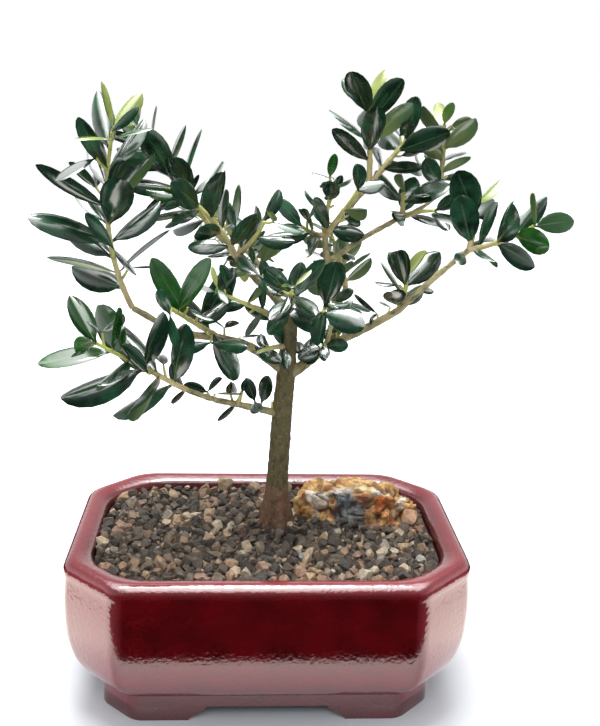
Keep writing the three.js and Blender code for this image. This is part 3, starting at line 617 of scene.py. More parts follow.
def add_layer(mesh, label, values, kind="FLOAT", domain="POINT"):
    layer = mesh.attributes.new(label, kind, domain)
    field = "vector" if kind == "FLOAT_VECTOR" else "value"
    number = np.int32 if kind == "INT" else np.float32
    layer.data.foreach_set(field, np.asarray(values, number).ravel())


def mesh_points(mesh):
    flat = np.empty(len(mesh.vertices) * 3, np.float32)
    mesh.vertices.foreach_get("co", flat)
    return flat.reshape(-1, 3).astype(float)


def move_points(mesh, points):
    mesh.vertices.foreach_set("co", np.asarray(points, np.float32).ravel())
    mesh.update()


def write_shape(shape, mesh):
    """Writes a worked shape to a mesh and frees it."""
    shape.to_mesh(mesh)
    shape.free()
    return mesh


def add_mesh(mesh, other):
    """Adds another mesh's points and faces to a mesh."""
    whole = bmesh.new()
    whole.from_mesh(mesh)
    whole.from_mesh(other)
    write_shape(whole, mesh)


def loft(name, rings):
    """A closed skin over rings of points, with a flat face over both ends."""
    count = len(rings[0])
    faces = []
    for low in range(0, (len(rings) - 1) * count, count):
        for k in range(count):
            n = (k + 1) % count
            faces.append((low + k, low + n, low + count + n, low + count + k))
    faces.append(range(count - 1, -1, -1))
    faces.append(range((len(rings) - 1) * count, len(rings) * count))
    return new_mesh(name, placed(np.concatenate(rings)), faces)


def kept_mesh(piece, name):
    """Turns an object with modifiers into a plain mesh object."""
    graph = bpy.context.evaluated_depsgraph_get()
    done = piece.evaluated_get(graph)
    mesh = bpy.data.meshes.new_from_object(done, preserve_all_data_layers=True, depsgraph=graph)
    piece.modifiers.clear()
    piece.data = mesh
    piece.name = name
    mesh.name = name
    return piece


# Nodes of every kind of tree
def add_node(tree, kind, sockets=None, **settings):
    """Adds a node to a tree, with its settings made and its sockets set or linked."""
    made = tree.nodes.new(kind)
    for label, value in settings.items():
        setattr(made, label, value)
    for key, value in (sockets or {}).items():
        if isinstance(value, bpy.types.NodeSocket):
            tree.links.new(value, made.inputs[key])
        else:
            made.inputs[key].default_value = value
    return made


# Geometry Nodes: a tree is built once, with named inputs, and run on each object that it grows
def new_tree(name, inputs):
    """A Geometry Nodes tree with a geometry input, further named inputs and a geometry output."""
    tree = bpy.data.node_groups.new(name, "GeometryNodeTree")
    tree.interface.new_socket("Geometry", in_out="INPUT", socket_type="NodeSocketGeometry")
    for label, kind in inputs.items():
        tree.interface.new_socket(label, in_out="INPUT", socket_type="NodeSocket" + kind)
    tree.interface.new_socket("Geometry", in_out="OUTPUT", socket_type="NodeSocketGeometry")
    return tree, tree.nodes.new("NodeGroupInput").outputs


def end_tree(tree, geometry, material):
    real = add_node(tree, "GeometryNodeRealizeInstances", {"Geometry": geometry})
    dressed = add_node(tree, "GeometryNodeSetMaterial", {"Geometry": real.outputs[0], "Material": material})
    add_node(tree, "NodeGroupOutput", {"Geometry": dressed.outputs[0]})


def named(tree, label, kind="FLOAT"):
    return add_node(tree, "GeometryNodeInputNamedAttribute", {"Name": label}, data_type=kind).outputs[0]


def grown(piece, tree, values, name):
    """Runs a tree on an object and keeps the result as a plain mesh."""
    modifier = piece.modifiers.new("grow", "NODES")
    modifier.node_group = tree
    for socket in tree.interface.items_tree:
        if socket.in_out == "INPUT" and socket.name in values:
            modifier[socket.identifier] = values[socket.name]
    return kept_mesh(piece, name)


def spot_object(name, spots, turns, sizes, shapes, tones):
    """Points to put shapes on, each with its turn, size, shape and tone."""
    mesh = new_mesh(name, placed(spots), [])
    add_layer(mesh, "turn", turns, "QUATERNION")
    add_layer(mesh, "size", vec(sizes) * MM, "FLOAT_VECTOR")
    add_layer(mesh, "shape", shapes, "INT")
    add_layer(mesh, "tone", tones)
    return add_object(name, mesh)


def strewn(spots, tree, values, name):
    """Puts a shape on each point of an object and drops the measures that it was placed by."""
    piece = grown(spots, tree, values, name)
    for label in ("turn", "size", "shape"):
        piece.data.attributes.remove(piece.data.attributes[label])
    return piece


def tube_tree():
    """Round tubes along edges, as thick as the edges' own measure says."""
    tree, given = new_tree("tubes", {"Sides": "Int", "Material": "Material"})
    curve = add_node(tree, "GeometryNodeMeshToCurve", {"Mesh": given["Geometry"]})
    ring = add_node(tree, "GeometryNodeCurvePrimitiveCircle", {"Resolution": given["Sides"], "Radius": 1.0})
    tube = add_node(tree, "GeometryNodeCurveToMesh", {
        "Curve": curve.outputs[0], "Profile Curve": ring.outputs[0], "Scale": named(tree, "thick"),
        "Fill Caps": True})
    smooth = add_node(tree, "GeometryNodeSetShadeSmooth", {"Geometry": tube.outputs[0]})
    end_tree(tree, smooth.outputs[0], given["Material"])
    return tree


def put_on_points(tree, points, collection, pick, turn, size):
    shapes = add_node(tree, "GeometryNodeCollectionInfo", {
        "Collection": collection, "Separate Children": True, "Reset Children": True})
    return add_node(tree, "GeometryNodeInstanceOnPoints", {
        "Points": points, "Instance": shapes.outputs[0], "Pick Instance": True, "Instance Index": pick,
        "Rotation": turn, "Scale": size}).outputs[0]


def scatter_tree():
    """One of a few shapes on each point, turned and sized by the point's own measures."""
    tree, given = new_tree("shapes on points", {"Shapes": "Collection", "Material": "Material"})
    shapes = put_on_points(
        tree, given["Geometry"], given["Shapes"], named(tree, "shape", "INT"),
        named(tree, "turn", "QUATERNION"), named(tree, "size", "FLOAT_VECTOR"))
    end_tree(tree, shapes, given["Material"])
    return tree


def chance(tree, kind, low, high, seed):
    """A random value for each point. The node has a pair of inputs and an output for each kind of value."""
    slot = ("FLOAT_VECTOR", "FLOAT", "INT").index(kind)
    node = add_node(tree, "FunctionNodeRandomValue", {
        2 * slot: low, 2 * slot + 1: high, "Seed": seed}, data_type=kind)
    return node.outputs[slot]


def gravel_tree():
    """Grains of a few shapes strewn over a surface, each turned, sized and toned by chance."""
    tree, given = new_tree("gravel", {
        "Shapes": "Collection", "Spacing": "Float", "Smallest": "Float", "Largest": "Float", "Seed": "Int",
        "Material": "Material"})
    spots = add_node(tree, "GeometryNodeDistributePointsOnFaces", {
        "Mesh": given["Geometry"], "Distance Min": given["Spacing"], "Density Max": GRAIN_DENSITY,
        "Seed": given["Seed"]}, distribute_method="POISSON")
    pick = chance(tree, "INT", 0, GRAIN_SHAPES - 1, 1)
    low = (-GRAIN_TILT, -GRAIN_TILT, 0)
    high = (GRAIN_TILT, GRAIN_TILT, math.tau)
    turn = chance(tree, "FLOAT_VECTOR", low, high, 2)
    rotation = add_node(tree, "FunctionNodeEulerToRotation", {"Euler": turn})
    size = chance(tree, "FLOAT", given["Smallest"], given["Largest"], 3)
    tone = chance(tree, "FLOAT", 0, 1, 4)
    grains = put_on_points(tree, spots.outputs[0], given["Shapes"], pick, rotation.outputs[0], size)
    toned = add_node(tree, "GeometryNodeStoreNamedAttribute", {
        "Geometry": grains, "Name": "tone", "Value": tone}, domain="INSTANCE")
    end_tree(tree, toned.outputs[0], given["Material"])
    return tree


def shape_collection(name, meshes):
    shapes = bpy.data.collections.new(name)
    for k, mesh in enumerate(meshes):
        shapes.objects.link(bpy.data.objects.new(f"{name}_{k}", mesh))
    return shapes


def drop_collection(shapes):
    for shape in list(shapes.objects):
        bpy.data.objects.remove(shape)
    bpy.data.collections.remove(shapes)


# Growing rule, as in the part: opposite pairs of leaves along a stem, each pair a quarter turn on
def side_of(along):
    axis = vec((0, 1, 0)) if abs(along[1]) < SIDE_SWITCH else vec((1, 0, 0))
    return unit(np.cross(along, axis))


def turned(direction, axis, degrees):
    angle = math.radians(degrees)
    kept = axis * np.dot(axis, direction) * (1 - math.cos(angle))
    return direction * math.cos(angle) + np.cross(axis, direction) * math.sin(angle) + kept


def leaf_width(share):
    """A blade's share of its full width along its length: narrow at the root, widest past the middle."""
    blade = np.clip((np.asarray(share) - LEAF_STALK) / (1 - LEAF_STALK), 0, 1)
    widest = LEAF_ROOT_CURVE / (LEAF_ROOT_CURVE + LEAF_TIP_CURVE)
    full = widest ** LEAF_ROOT_CURVE * (1 - widest) ** LEAF_TIP_CURVE
    return blade ** LEAF_ROOT_CURVE * (1 - blade) ** LEAF_TIP_CURVE / full


def leaf_lift(share):
    return LEAF_ARCH * (share - share ** 2) - LEAF_DROOP * share ** 2


class Leaf:
    """One leaf: where it sits, which way it points and faces, and how long and wide it is."""

    def __init__(self, spot, way, face, length, width):
        self.spot = spot
        self.way = way
        self.face = face
        self.length = length
        self.width = width
        self.across = np.cross(way, face)
        self.middle = spot + way * length / 2
        self.points = self.blade_points()

    def blade_points(self):
        share, aside = np.meshgrid(TEST_SHARES, TEST_ASIDES, indexing="ij")
        share = share.ravel()
        run = np.outer(share, self.way) + np.outer(leaf_lift(share), self.face)
        beside = np.outer(aside.ravel() * leaf_width(share) * self.width / 2, self.across)
        return self.spot + run * self.length + beside

    def touches(self, points):
        """Whether any of the points lies in this blade or just over or under it."""
        away = points - self.spot
        share = away @ self.way / self.length
        above = away @ self.face - leaf_lift(share) * self.length
        room = leaf_width(share) * self.width / 2 + LEAF_SIDE_ROOM
        beside = np.abs(away @ self.across) < room
        within = (share > BLADE_RANGE[0]) & (share < BLADE_RANGE[1])
        return bool(np.any(within & (np.abs(above) < LEAF_ROOM) & beside))

    def clashes(self, other):
        if np.linalg.norm(self.middle - other.middle) > (self.length + other.length) / 2 + NEAR_BY:
            return False
        if np.linalg.norm(self.spot - other.spot) < SAME_SPOT:
            return False
        return self.touches(other.points) or other.touches(self.points)

    def turn_over(self):
        self.face = -self.face
        self.across = -self.across
        self.points = self.blade_points()

    def turn(self):
        columns = Matrix((self.across, self.way, self.face)).transposed()
        return tuple(columns.to_quaternion())


def leaf_pair(spot, along, roll, share, length, shoot, dice):
    pair = []
    for half in (0, 180):
        side = turned(side_of(along), along, roll + half + dice.around(ROLL_VARIES))
        spread = math.radians(mix((shoot["wide"], shoot["narrow"]), share ** 2) + dice.around(SPREAD_VARIES))
        way = unit(along * math.cos(spread) + side * math.sin(spread))
        face = along * math.sin(spread) - side * math.cos(spread) + UP * FACE_UP
        face = turned(unit(face - way * np.dot(face, way)), way, dice.around(TWIST_VARIES))
        size = length * (1 + dice.around(LENGTH_VARIES))
        width = size * shoot["slim"] * (1 + dice.around(WIDTH_VARIES))
        pair.append(Leaf(spot, way, face, size, width))
    return pair


def swell(share):
    """Leaves are longest about half way up a shoot."""
    return SMALLEST_LEAF + (1 - SMALLEST_LEAF) * math.sin(math.pi * mix(SWELL_RANGE, share))


class Shoot:
    """A stem with its leaves and side twigs."""

    def __init__(self, habit):
        self.habit = dict(SHOOT_HABIT, **habit)
        self.start = vec(habit.get("start") or BOUGHS[habit["on"]][0][-1])
        self.tip = vec(habit["tip"])
        self.bend = (self.start + self.tip) / 2 + vec(self.habit["bow"])
        self.leaves = []
        self.fine_leaves = []
        self.twigs = []
        self.grow(Dice(habit["seed"]))
        self.grow_finer(Dice(habit["seed"] + FINE_SEED))
        self.grow_spurs(Dice(habit["seed"] + SPUR_SEED))
        self.face_light(Dice(habit["seed"] + LIGHT_SEED))

    def at(self, share):
        near = self.start * (1 - share) + self.bend * share
        far = self.bend * (1 - share) + self.tip * share
        return near * (1 - share) + far * share, unit(far - near)

    def path(self, count):
        return np.array([self.at(share)[0] for share in np.linspace(0, 1, count)])

    def pair_shares(self):
        pairs = self.habit["pairs"]
        return [mix((self.habit["first"], 1), k / (pairs - 1)) for k in range(pairs)]

    def grow(self, dice):
        habit = self.habit
        for k, share in enumerate(self.pair_shares()):
            spot, along = self.at(share)
            roll = habit["roll"] + PAIR_TURN * k
            ending = habit["last"] if k == habit["pairs"] - 1 else 1
            length = habit["leaf"] * swell(share) * ending
            self.leaves += leaf_pair(spot, along, roll, share, length, habit, dice)
            if dice.next() < habit["twigs"]:
                turn = roll + (180 if dice.next() < 0.5 else 0) + dice.around(TWIG_VARIES)
                self.leaves += self.side_twig(spot, along, turn, TWIG_LENGTH, TWIG_LEAF, dice)

    def side_twig(self, spot, along, turn, length, leaf, dice):
        side = turned(side_of(along), along, turn)
        way = unit(along * TWIG_FORWARD + side * TWIG_ASIDE)
        end = spot + way * self.habit["leaf"] * length
        self.twigs.append((spot, end))
        roll = 360 * dice.next()
        return leaf_pair(end, way, roll, TWIG_SPREAD, self.habit["leaf"] * leaf, self.habit, dice)

    def grow_finer(self, dice):
        """Short side twigs with small leaves between the pairs."""
        shares = self.pair_shares()
        for low, high in zip(shares, shares[1:]):
            if dice.next() < FINE_TWIGS:
                spot, along = self.at((low + high) / 2)
                turn = 360 * dice.next()
                self.fine_leaves += self.side_twig(spot, along, turn, FINE_LENGTH, FINE_LEAF, dice)

    def grow_spurs(self, dice):
        """Short spurs with small leaves along the bough that carries the shoot."""
        count = self.habit["spurs"]
        small = dict(self.habit, slim=SPUR_SLIM)
        for k in range(count):
            path = smooth_line(BOUGHS[self.habit["on"]][0], LIMB_STEPS)
            near = int(mix(SPUR_RANGE, (k + dice.next()) / count) * (len(path) - 2))
            along = unit(path[near + 1] - path[near])
            above = unit(UP - along * np.dot(UP, along))
            side = turned(above, along, dice.around(SPUR_ROUND))
            way = unit(side + (along + UP) * SPUR_LEAN)
            end = path[near] + way * dice.between(SPUR_LENGTH)
            self.twigs.append((path[near], end))
            roll = 360 * dice.next()
            length = dice.between(SPUR_LEAF)
            self.fine_leaves += leaf_pair(end, way, roll, TWIG_SPREAD, length, small, dice)

    def face_light(self, dice):
        """Most leaves turn their glossy side to the light."""
        for leaf in self.leaves + self.fine_leaves:
            stays = dice.next() < UNDERSIDES
            light = LIGHT_WAY if leaf.spot[1] < BACK_FROM else BACK_LIGHT_WAY
            if np.dot(leaf.face, light) < 0 and not stays:
                leaf.turn_over()


def tapered(line, ends, steps):
    """A smooth path along a line, and the wood's radius at each of its points."""
    path = smooth_line(line, steps)
    return path, mix(ends, np.linspace(0, 1, len(path)))


def wood_samples(shoots):
    """Points along every limb and stem, with the wood's radius there."""
    lines = [*BOUGHS.values(), (TRUNK_LINE, TRUNK_RADII)]
    lines += [(shoot.path(STEM_SAMPLES), STEM_ROOM) for shoot in shoots]
    samples = [tapered(line, ends, LIMB_STEPS // 2) for line, ends in lines]
    return [np.concatenate(part) for part in zip(*samples)]


def hits_wood(leaf, wood):
    spots, radii = wood
    near = np.linalg.norm(spots - leaf.middle, axis=1) < leaf.length / 2 + radii + NEAR_BY
    if not near.any():
        return False
    away = np.linalg.norm(leaf.points[:, None] - spots[near][None], axis=2) - radii[near]
    return away.min() < WOOD_ROOM


def leave_out_clashes(shoots):
    """Keeps the leaves that stay clear of wood and of each other, from each tip down, small ones last."""
    wood = wood_samples(shoots)
    kept = []
    for group in ("leaves", "fine_leaves"):
        for shoot in shoots:
            clear = []
            for leaf in reversed(getattr(shoot, group)):
                if hits_wood(leaf, wood) or any(leaf.clashes(other) for other in kept):
                    continue
                kept.append(leaf)
                clear.append(leaf)
            setattr(shoot, group, clear)


def leaf_kinds(shoots):
    """Deals the colours out by spray: young leaves at the tip, then fresh ones, and old ones below."""
    kinds = {"young": [], "fresh": [], "old": []}
    for shoot in shoots:
        young = round(shoot.habit["young"] * len(shoot.leaves))
        fresh = young + round(shoot.habit["fresh"] * len(shoot.leaves))
        kinds["young"] += shoot.leaves[:young]
        kinds["fresh"] += shoot.leaves[young:fresh]
        kinds["old"] += shoot.leaves[fresh:] + shoot.fine_leaves
    return kinds


# Leaves: a few closed blades with a stalk, a keel and their own curl, then one on each point
def leaf_mesh(name, dice):
    fold = dice.between(LEAF_FOLD)
    camber = dice.between(LEAF_CAMBER)
    curl = dice.around(LEAF_CURL)
    sway = dice.around(LEAF_SWAY)
    points, across, along = [], [], []
    for share in LEAF_SHARES:
        half = max(leaf_width(share), LEAF_STALK_WIDTH) / 2
        for aside in LEAF_ASIDES:
            x = aside * half + sway * share ** 2
            lift = leaf_lift(share) + curl * share ** 3
            points.append((x, share, lift + (fold * abs(aside) - camber * aside ** 2) * half))
            across.append(aside)
            along.append(share)
    columns = len(LEAF_ASIDES)
    faces = leaf_faces(len(LEAF_SHARES), columns)
    under = leaf_underside(points, across, along, columns)
    tops = len(faces)
    faces += [tuple(under[k] for k in reversed(face)) for face in faces]
    mesh = new_mesh(name, points, faces)
    add_layer(mesh, "across", across)
    add_layer(mesh, "along", along)
    add_layer(mesh, "under", [0] * tops + [1] * tops, domain="FACE")
    return soft_blade(mesh, columns)


def leaf_faces(rows, columns):
    faces = []
    for row in range(rows - 1):
        for k in range(row * columns, row * columns + columns - 1):
            faces.append((k, k + 1, k + columns + 1, k + columns))
    return faces


def leaf_underside(points, across, along, columns):
    """Adds the points of the underside, and says which of them lies under each point of the top."""
    under = list(range(len(points)))
    for k in range(columns, len(points) - columns):
        if abs(across[k]) < 1:
            x, y, z = points[k]
            thick = mix((LEAF_STALK_THICK, LEAF_BLADE_THICK), min(1, y / LEAF_STALK_END))
            under[k] = len(points)
            points.append((x, y, z - thick))
            across.append(across[k])
            along.append(along[k])
    return under


def soft_blade(mesh, columns):
    """Smooth faces with a crisp edge all round the blade."""
    mesh.shade_smooth()
    last = columns * (len(LEAF_SHARES) - 1)
    for edge in mesh.edges:
        a, b = edge.vertices
        border = a % columns in (0, columns - 1) and abs(a - b) == columns and max(a, b) < last + columns
        edge.use_edge_sharp = border or min(a, b) >= last and max(a, b) < last + columns
    return mesh


def make_leaves(kinds):
    dice = Dice(LEAF_SEED)
    blades = shape_collection("blade", [leaf_mesh(f"blade_{k}", dice) for k in range(LEAF_SHAPES)])
    tree = scatter_tree()
    pieces = []
    for kind, leaves in kinds.items():
        shapes = [int(dice.next() * LEAF_SHAPES) for _ in leaves]
        tones = [dice.next() for _ in leaves]
        spots = spot_object(
            f"{kind}_spots", [leaf.spot for leaf in leaves], [leaf.turn() for leaf in leaves],
            [(leaf.width, leaf.length, leaf.length) for leaf in leaves], shapes, tones)
        values = {"Shapes": blades, "Material": leaf_material(kind)}
        pieces.append(strewn(spots, tree, values, f"{kind}_leaves"))
    drop_collection(blades)
    return pieces


# Twigs: the stems of the shoots, swollen where leaves sit, and their side twigs
def tube_object(name, lines):
    """Edges along lines of points, each with its radii and its age along the line."""
    points, edges, thick, along = [], [], [], []
    for path, radii, ages in lines:
        first = len(points)
        points += list(placed(path))
        thick += list(np.asarray(radii) * MM)
        along += list(ages)
        edges += [(k, k + 1) for k in range(first, len(points) - 1)]
    mesh = new_mesh(name, points, [], edges)
    add_layer(mesh, "thick", thick)
    add_layer(mesh, "along", along)
    return add_object(name, mesh)


def stem_line(shoot):
    shares = np.linspace(0, 1, STEM_STEPS)
    length = np.linalg.norm(shoot.tip - shoot.start)
    radii = mix(STEM_RADII, shares)
    for share in shoot.pair_shares():
        radii = radii * (1 + NODE_SWELL * np.exp(-((shares - share) * length / NODE_LENGTH) ** 2))
    return shoot.path(STEM_STEPS), radii, shares


def twig_line(spot, end):
    shares = np.linspace(0, 1, TWIG_STEPS)
    sag = np.outer(np.sin(shares * math.pi), UP) * TWIG_BEND * np.linalg.norm(end - spot)
    return mix((spot, end), shares[:, None]) - sag, mix(TWIG_RADII, shares), mix((TWIG_AGE, 1), shares)


def make_twigs(shoots, tubes):
    lines = []
    for shoot in shoots:
        lines.append(stem_line(shoot))
        lines += [twig_line(spot, end) for spot, end in shoot.twigs]
    values = {"Sides": TWIG_SIDES, "Material": twig_material()}
    return grown(tube_object("twigs", lines), tubes, values, "twigs")


# Bark: trunk and boughs joined in one skin, with the bark's relief
def trunk_radius(share, angle):
    height = share * (TRUNK_LINE[-1][2] - TRUNK_LINE[0][2])
    flare = math.exp(-((height / ROOT_RISE) ** ROOT_FADE))
    lobes = 1 + ROOT_LOBE_DEPTH * flare * math.cos(ROOT_LOBES * angle)
    return (mix(TRUNK_RADII, share ** 2) + (ROOT_RADIUS - TRUNK_RADII[0]) * flare) * lobes


def trunk_rings():
    path = smooth_line(TRUNK_LINE, LIMB_STEPS // 2)
    rings = []
    for centre, share in zip(path, np.linspace(0, 1, len(path))):
        angles = np.arange(TRUNK_SIDES) * math.tau / TRUNK_SIDES
        radii = vec([trunk_radius(share, angle) for angle in angles])
        rings.append(centre + np.stack([radii * np.cos(angles), radii * np.sin(angles), 0 * angles], axis=1))
    return [rings[0] - TRUNK_SUNK * UP] + rings


def knob_line(height, angle, radius):
    """A small swelling on the trunk, left by a lost twig: both its ends and their radii."""
    share = (height - TRUNK_LINE[0][2]) / (TRUNK_LINE[-1][2] - TRUNK_LINE[0][2])
    path = smooth_line(TRUNK_LINE, LIMB_STEPS // 2)
    centre = path[np.argmin(np.abs(path[:, 2] - height))]
    turn = math.radians(angle)
    out = vec((math.cos(turn), math.sin(turn), KNOB_LEAN))
    reach = trunk_radius(share, turn)
    spots = [centre + out * (reach - KNOB_SUNK), centre + out * (reach + KNOB_REACH * radius)]
    return spots, [radius, KNOB_TIP * radius]


def make_bark(tubes):
    lines = [tapered(line, ends, LIMB_STEPS) for line, ends in BOUGHS.values()]
    lines += [knob_line(*knob) for knob in KNOBS]
    lines = [(path, radii, np.linspace(0, 1, len(path))) for path, radii in lines]
    piece = grown(tube_object("limbs", lines), tubes, {"Sides": LIMB_SIDES, "Material": None}, "bark")
    add_mesh(piece.data, loft("trunk_skin", trunk_rings()))
    skin = piece.modifiers.new("skin", "REMESH")
    skin.mode = "VOXEL"
    skin.voxel_size = BARK_VOXEL * MM
    kept_mesh(piece, "bark")
    roughen_bark(piece.data)
    return piece


def limb_samples():
    """Points along trunk and boughs, with the wood's radius and direction there."""
    trunk = smooth_line(TRUNK_LINE, LIMB_STEPS)
    wide = [trunk_radius(share, math.pi / 2 / ROOT_LOBES) for share in np.linspace(0, 1, len(trunk))]
    limbs = [(trunk, wide)] + [tapered(line, ends, LIMB_STEPS) for line, ends in BOUGHS.values()]
    spots, radii = (np.concatenate(part) for part in zip(*limbs))
    ways = np.concatenate([np.gradient(path, axis=0) for path, _ in limbs])
    return spots, radii, ways / np.linalg.norm(ways, axis=1)[:, None]


def nearest_limb(points):
    spots, radii, ways = limb_samples()
    best = np.full(len(points), np.inf)
    wide = np.zeros(len(points))
    way = np.zeros((len(points), 3))
    for spot, radius, direction in zip(spots, radii, ways):
        away = np.linalg.norm(points - spot, axis=1) - radius
        nearer = away < best
        best[nearer] = away[nearer]
        wide[nearer] = radius
        way[nearer] = direction
    return wide, way


def roughen_bark(mesh):
    """Lengthwise ridges and flakes, deeper on old wood."""
    points = (mesh_points(mesh) - POT_CENTRE) / MM
    wide, way = nearest_limb(points)
    age = np.clip((wide - YOUNG_WOOD) / (OLD_WOOD - YOUNG_WOOD), 0, 1)
    ahead = np.sum(points * way, axis=1)[:, None] * way
    drawn = (points - BARK_STRETCH * ahead) / BARK_GRAIN
    normals = np.empty(len(points) * 3, np.float32)
    mesh.vertex_normals.foreach_get("vector", normals)
    ridges = np.array([noise.fractal(Vector(p), *BARK_NOISE) for p in drawn])
    lumps = np.array([noise.noise(Vector(p)) for p in points / BARK_LUMP])
    depth = BARK_RELIEF * (BARK_LEAST + age) * ridges + BARK_RELIEF * lumps
    move_points(mesh, placed(points + normals.reshape(-1, 3) * depth[:, None]))
    add_layer(mesh, "age", age)
    add_layer(mesh, "ridge", np.clip(0.5 + 0.5 * ridges, 0, 1))
    mesh.shade_smooth()
    mesh.materials.clear()
    mesh.materials.append(bark_material())


def make_rootlets(tubes):
    """Fine pale roots that run out from the trunk's foot over the gravel."""
    dice = Dice(ROOTLET_SEED)
    shares = np.linspace(0, 1, ROOTLET_STEPS)
    lines = []
    for k in range(ROOTLETS):
        angle = math.tau * k / ROOTLETS + dice.around(ROOTLET_SHIFT)
        length = dice.between(ROOTLET_LENGTH)
        path = []
        for share in shares:
            reach = ROOT_RADIUS * ROOTLET_FROM + length * share
            x = TRUNK_LINE[0][0] + reach * math.cos(angle)
            y = TRUNK_LINE[0][1] + reach * math.sin(angle)
            rise = ROOTLET_RISE * (1 - share) + dice.around(ROOTLET_WAVE)
            path.append((x, y, soil_height(x, y) + rise))
            angle += dice.around(ROOTLET_WIND)
        lines.append((path, mix(ROOTLET_RADII, shares), shares))
    values = {"Sides": TWIG_SIDES, "Material": two_tone_material("rootlet")}
    return grown(tube_object("rootlets", lines), tubes, values, "rootlets")


# Pot: a lofted wall with a rolled lip, and four corner feet left between arched cuts
def outline(inset, softness, z):
    a = RIM_LENGTH / 2 - inset
    b = RIM_WIDTH / 2 - inset
    cut = CORNER_CUT - inset * (2 - math.sqrt(2))
    corners = [(a, cut - b), (a, b - cut), (a - cut, b), (cut - a, b),
               (-a, b - cut), (-a, cut - b), (cut - a, -b), (a - cut, -b)]
    corners = [vec((x, y, z)) for x, y in corners]
    ring = []
    for k, corner in enumerate(corners):
        before = towards(corner, corners[k - 1], softness)
        after = towards(corner, corners[(k + 1) % 8], softness)
        for t in np.linspace(0, 1, CORNER_STEPS):
            ring.append(before * (1 - t) ** 2 + corner * 2 * t * (1 - t) + after * t * t)
    return np.array(ring)


def towards(start, end, distance):
    gap = np.linalg.norm(end - start)
    return start + (end - start) / gap * min(distance, CORNER_LIMIT * gap)


def chamfer_share():
    """How far each point of an outline lies round its corner towards the cut corner's flat face."""
    turn = np.linspace(0, 1, CORNER_STEPS)
    return np.tile(np.concatenate([turn[::-1], turn]), 4)


def pot_rings():
    """Rings up the outside, over the lip and down the inside, and how pale the glaze is on each: partly thin
    glaze, partly painted reflection.
    """
    rows = [(z, inset, CORNER_SOFTNESS) for z, inset in POT_BASE]
    rows += [(z, inset, CORNER_SOFTNESS) for z, inset in smooth_line(POT_WALL, WALL_STEPS)]
    softness = np.linspace(CORNER_SOFTNESS, OPENING_SOFTNESS, len(POT_LIP))
    rows += [(z, inset, soft) for (z, inset), soft in zip(POT_LIP, softness)]
    rows += [(z, inset, OPENING_SOFTNESS) for z, inset in POT_INSIDE]
    rings = [outline(inset, soft, z) for z, inset, soft in rows]
    up_wall = [np.interp(z, *zip(*WALL_THIN_AND_REFLECTION)) for z, _, _ in rows]
    return rings, np.concatenate([np.maximum(thin_and_reflection, chamfer_share() * CHAMFER_THIN_AND_REFLECTION) for thin_and_reflection in up_wall])


def arch_points(half):
    """The opening between two feet: wide at the ground, drawn in by a double curve under the pot."""
    top = half - ARCH_FLARE
    t = np.linspace(0, 1, ARCH_STEPS)
    x = half + (top - half) * (3 * t ** 2 - 2 * t ** 3)
    right = [(half, GROUND - 1)] + list(zip(x, mix((GROUND, FOOT_TOP), t)))
    return right + [(-a, b) for a, b in reversed(right)]


def arch_block(name, half, axis):
    rings = []
    for depth in (-RIM_LENGTH, RIM_LENGTH):
        rings.append(vec([(a, depth, b) if axis == "y" else (depth, a, b) for a, b in arch_points(half)]))
    return block_object(name, rings)


def block_object(name, rings):
    mesh = loft(name, rings)
    solid = bmesh.new()
    solid.from_mesh(mesh)
    bmesh.ops.recalc_face_normals(solid, faces=solid.faces)
    return add_object(name, write_shape(solid, mesh))


def make_feet():
    feet = block_object("feet", [outline(FOOT_INSET, CORNER_SOFTNESS, z) for z in (GROUND, FOOT_TOP + 1)])
    inner = [outline(FOOT_INNER_INSET, CORNER_SOFTNESS, z) for z in (GROUND - 1, FOOT_TOP)]
    cuts = [
        block_object("hollow", inner), arch_block("front_arch", ARCH_FRONT_HALF, "y"),
        arch_block("side_arch", ARCH_SIDE_HALF, "x"),
    ]
    for cut in cuts:
        modifier = feet.modifiers.new(cut.name, "BOOLEAN")
        modifier.operation = "DIFFERENCE"
        modifier.object = cut
    soft = feet.modifiers.new("soft edges", "BEVEL")
    soft.width = FOOT_SOFTNESS * MM
    soft.segments = FOOT_SOFT_STEPS
    soft.limit_method = "ANGLE"
    soft.angle_limit = math.radians(FOOT_SOFT_ANGLE)
    kept_mesh(feet, "feet")
    for cut in cuts:
        bpy.data.objects.remove(cut)
    return feet


def make_pot():
    rings, thin_and_reflection = pot_rings()
    mesh = loft("pot_glazed", rings)
    # Paler glaze: partly thin glaze, partly painted reflection
    add_layer(mesh, "thin_and_reflection", thin_and_reflection)
    feet = make_feet()
    add_layer(feet.data, "thin_and_reflection", np.full(len(feet.data.vertices), FOOT_THIN_AND_REFLECTION))
    add_mesh(mesh, feet.data)
    bpy.data.objects.remove(feet)
    mesh.shade_smooth()
    mesh.set_sharp_from_angle(angle=math.radians(POT_SHARP_ANGLE))
    return add_object("pot_glazed", mesh, glaze_material())


# Gravel: angular grains of two sizes strewn over the bed, clear of trunk and rock
def soil_height(x, y):
    return SOIL_LEVEL + SOIL_MOUND_RISE * math.exp(-((from_trunk(x, y) / SOIL_MOUND_RADIUS) ** 2))


def from_trunk(x, y):
    return math.hypot(x - TRUNK_LINE[0][0], y - TRUNK_LINE[0][1])


def inside_ring(ring, x, y):
    ahead = np.roll(ring, -1, axis=0) - ring
    turns = ahead[:, 0] * (y - ring[:, 1]) - ahead[:, 1] * (x - ring[:, 0])
    return bool(turns.min() > -HAIR)


def is_open(ring, x, y, trunk_room, rock_room):
    """Whether a place lies inside the rim and clear of trunk and rock."""
    from_rock = math.hypot((x - ROCK_SPOT[0]) / ROCK_HALF[0], (y - ROCK_SPOT[1]) / ROCK_HALF[1])
    return from_trunk(x, y) > trunk_room and from_rock > rock_room and inside_ring(ring, x, y)


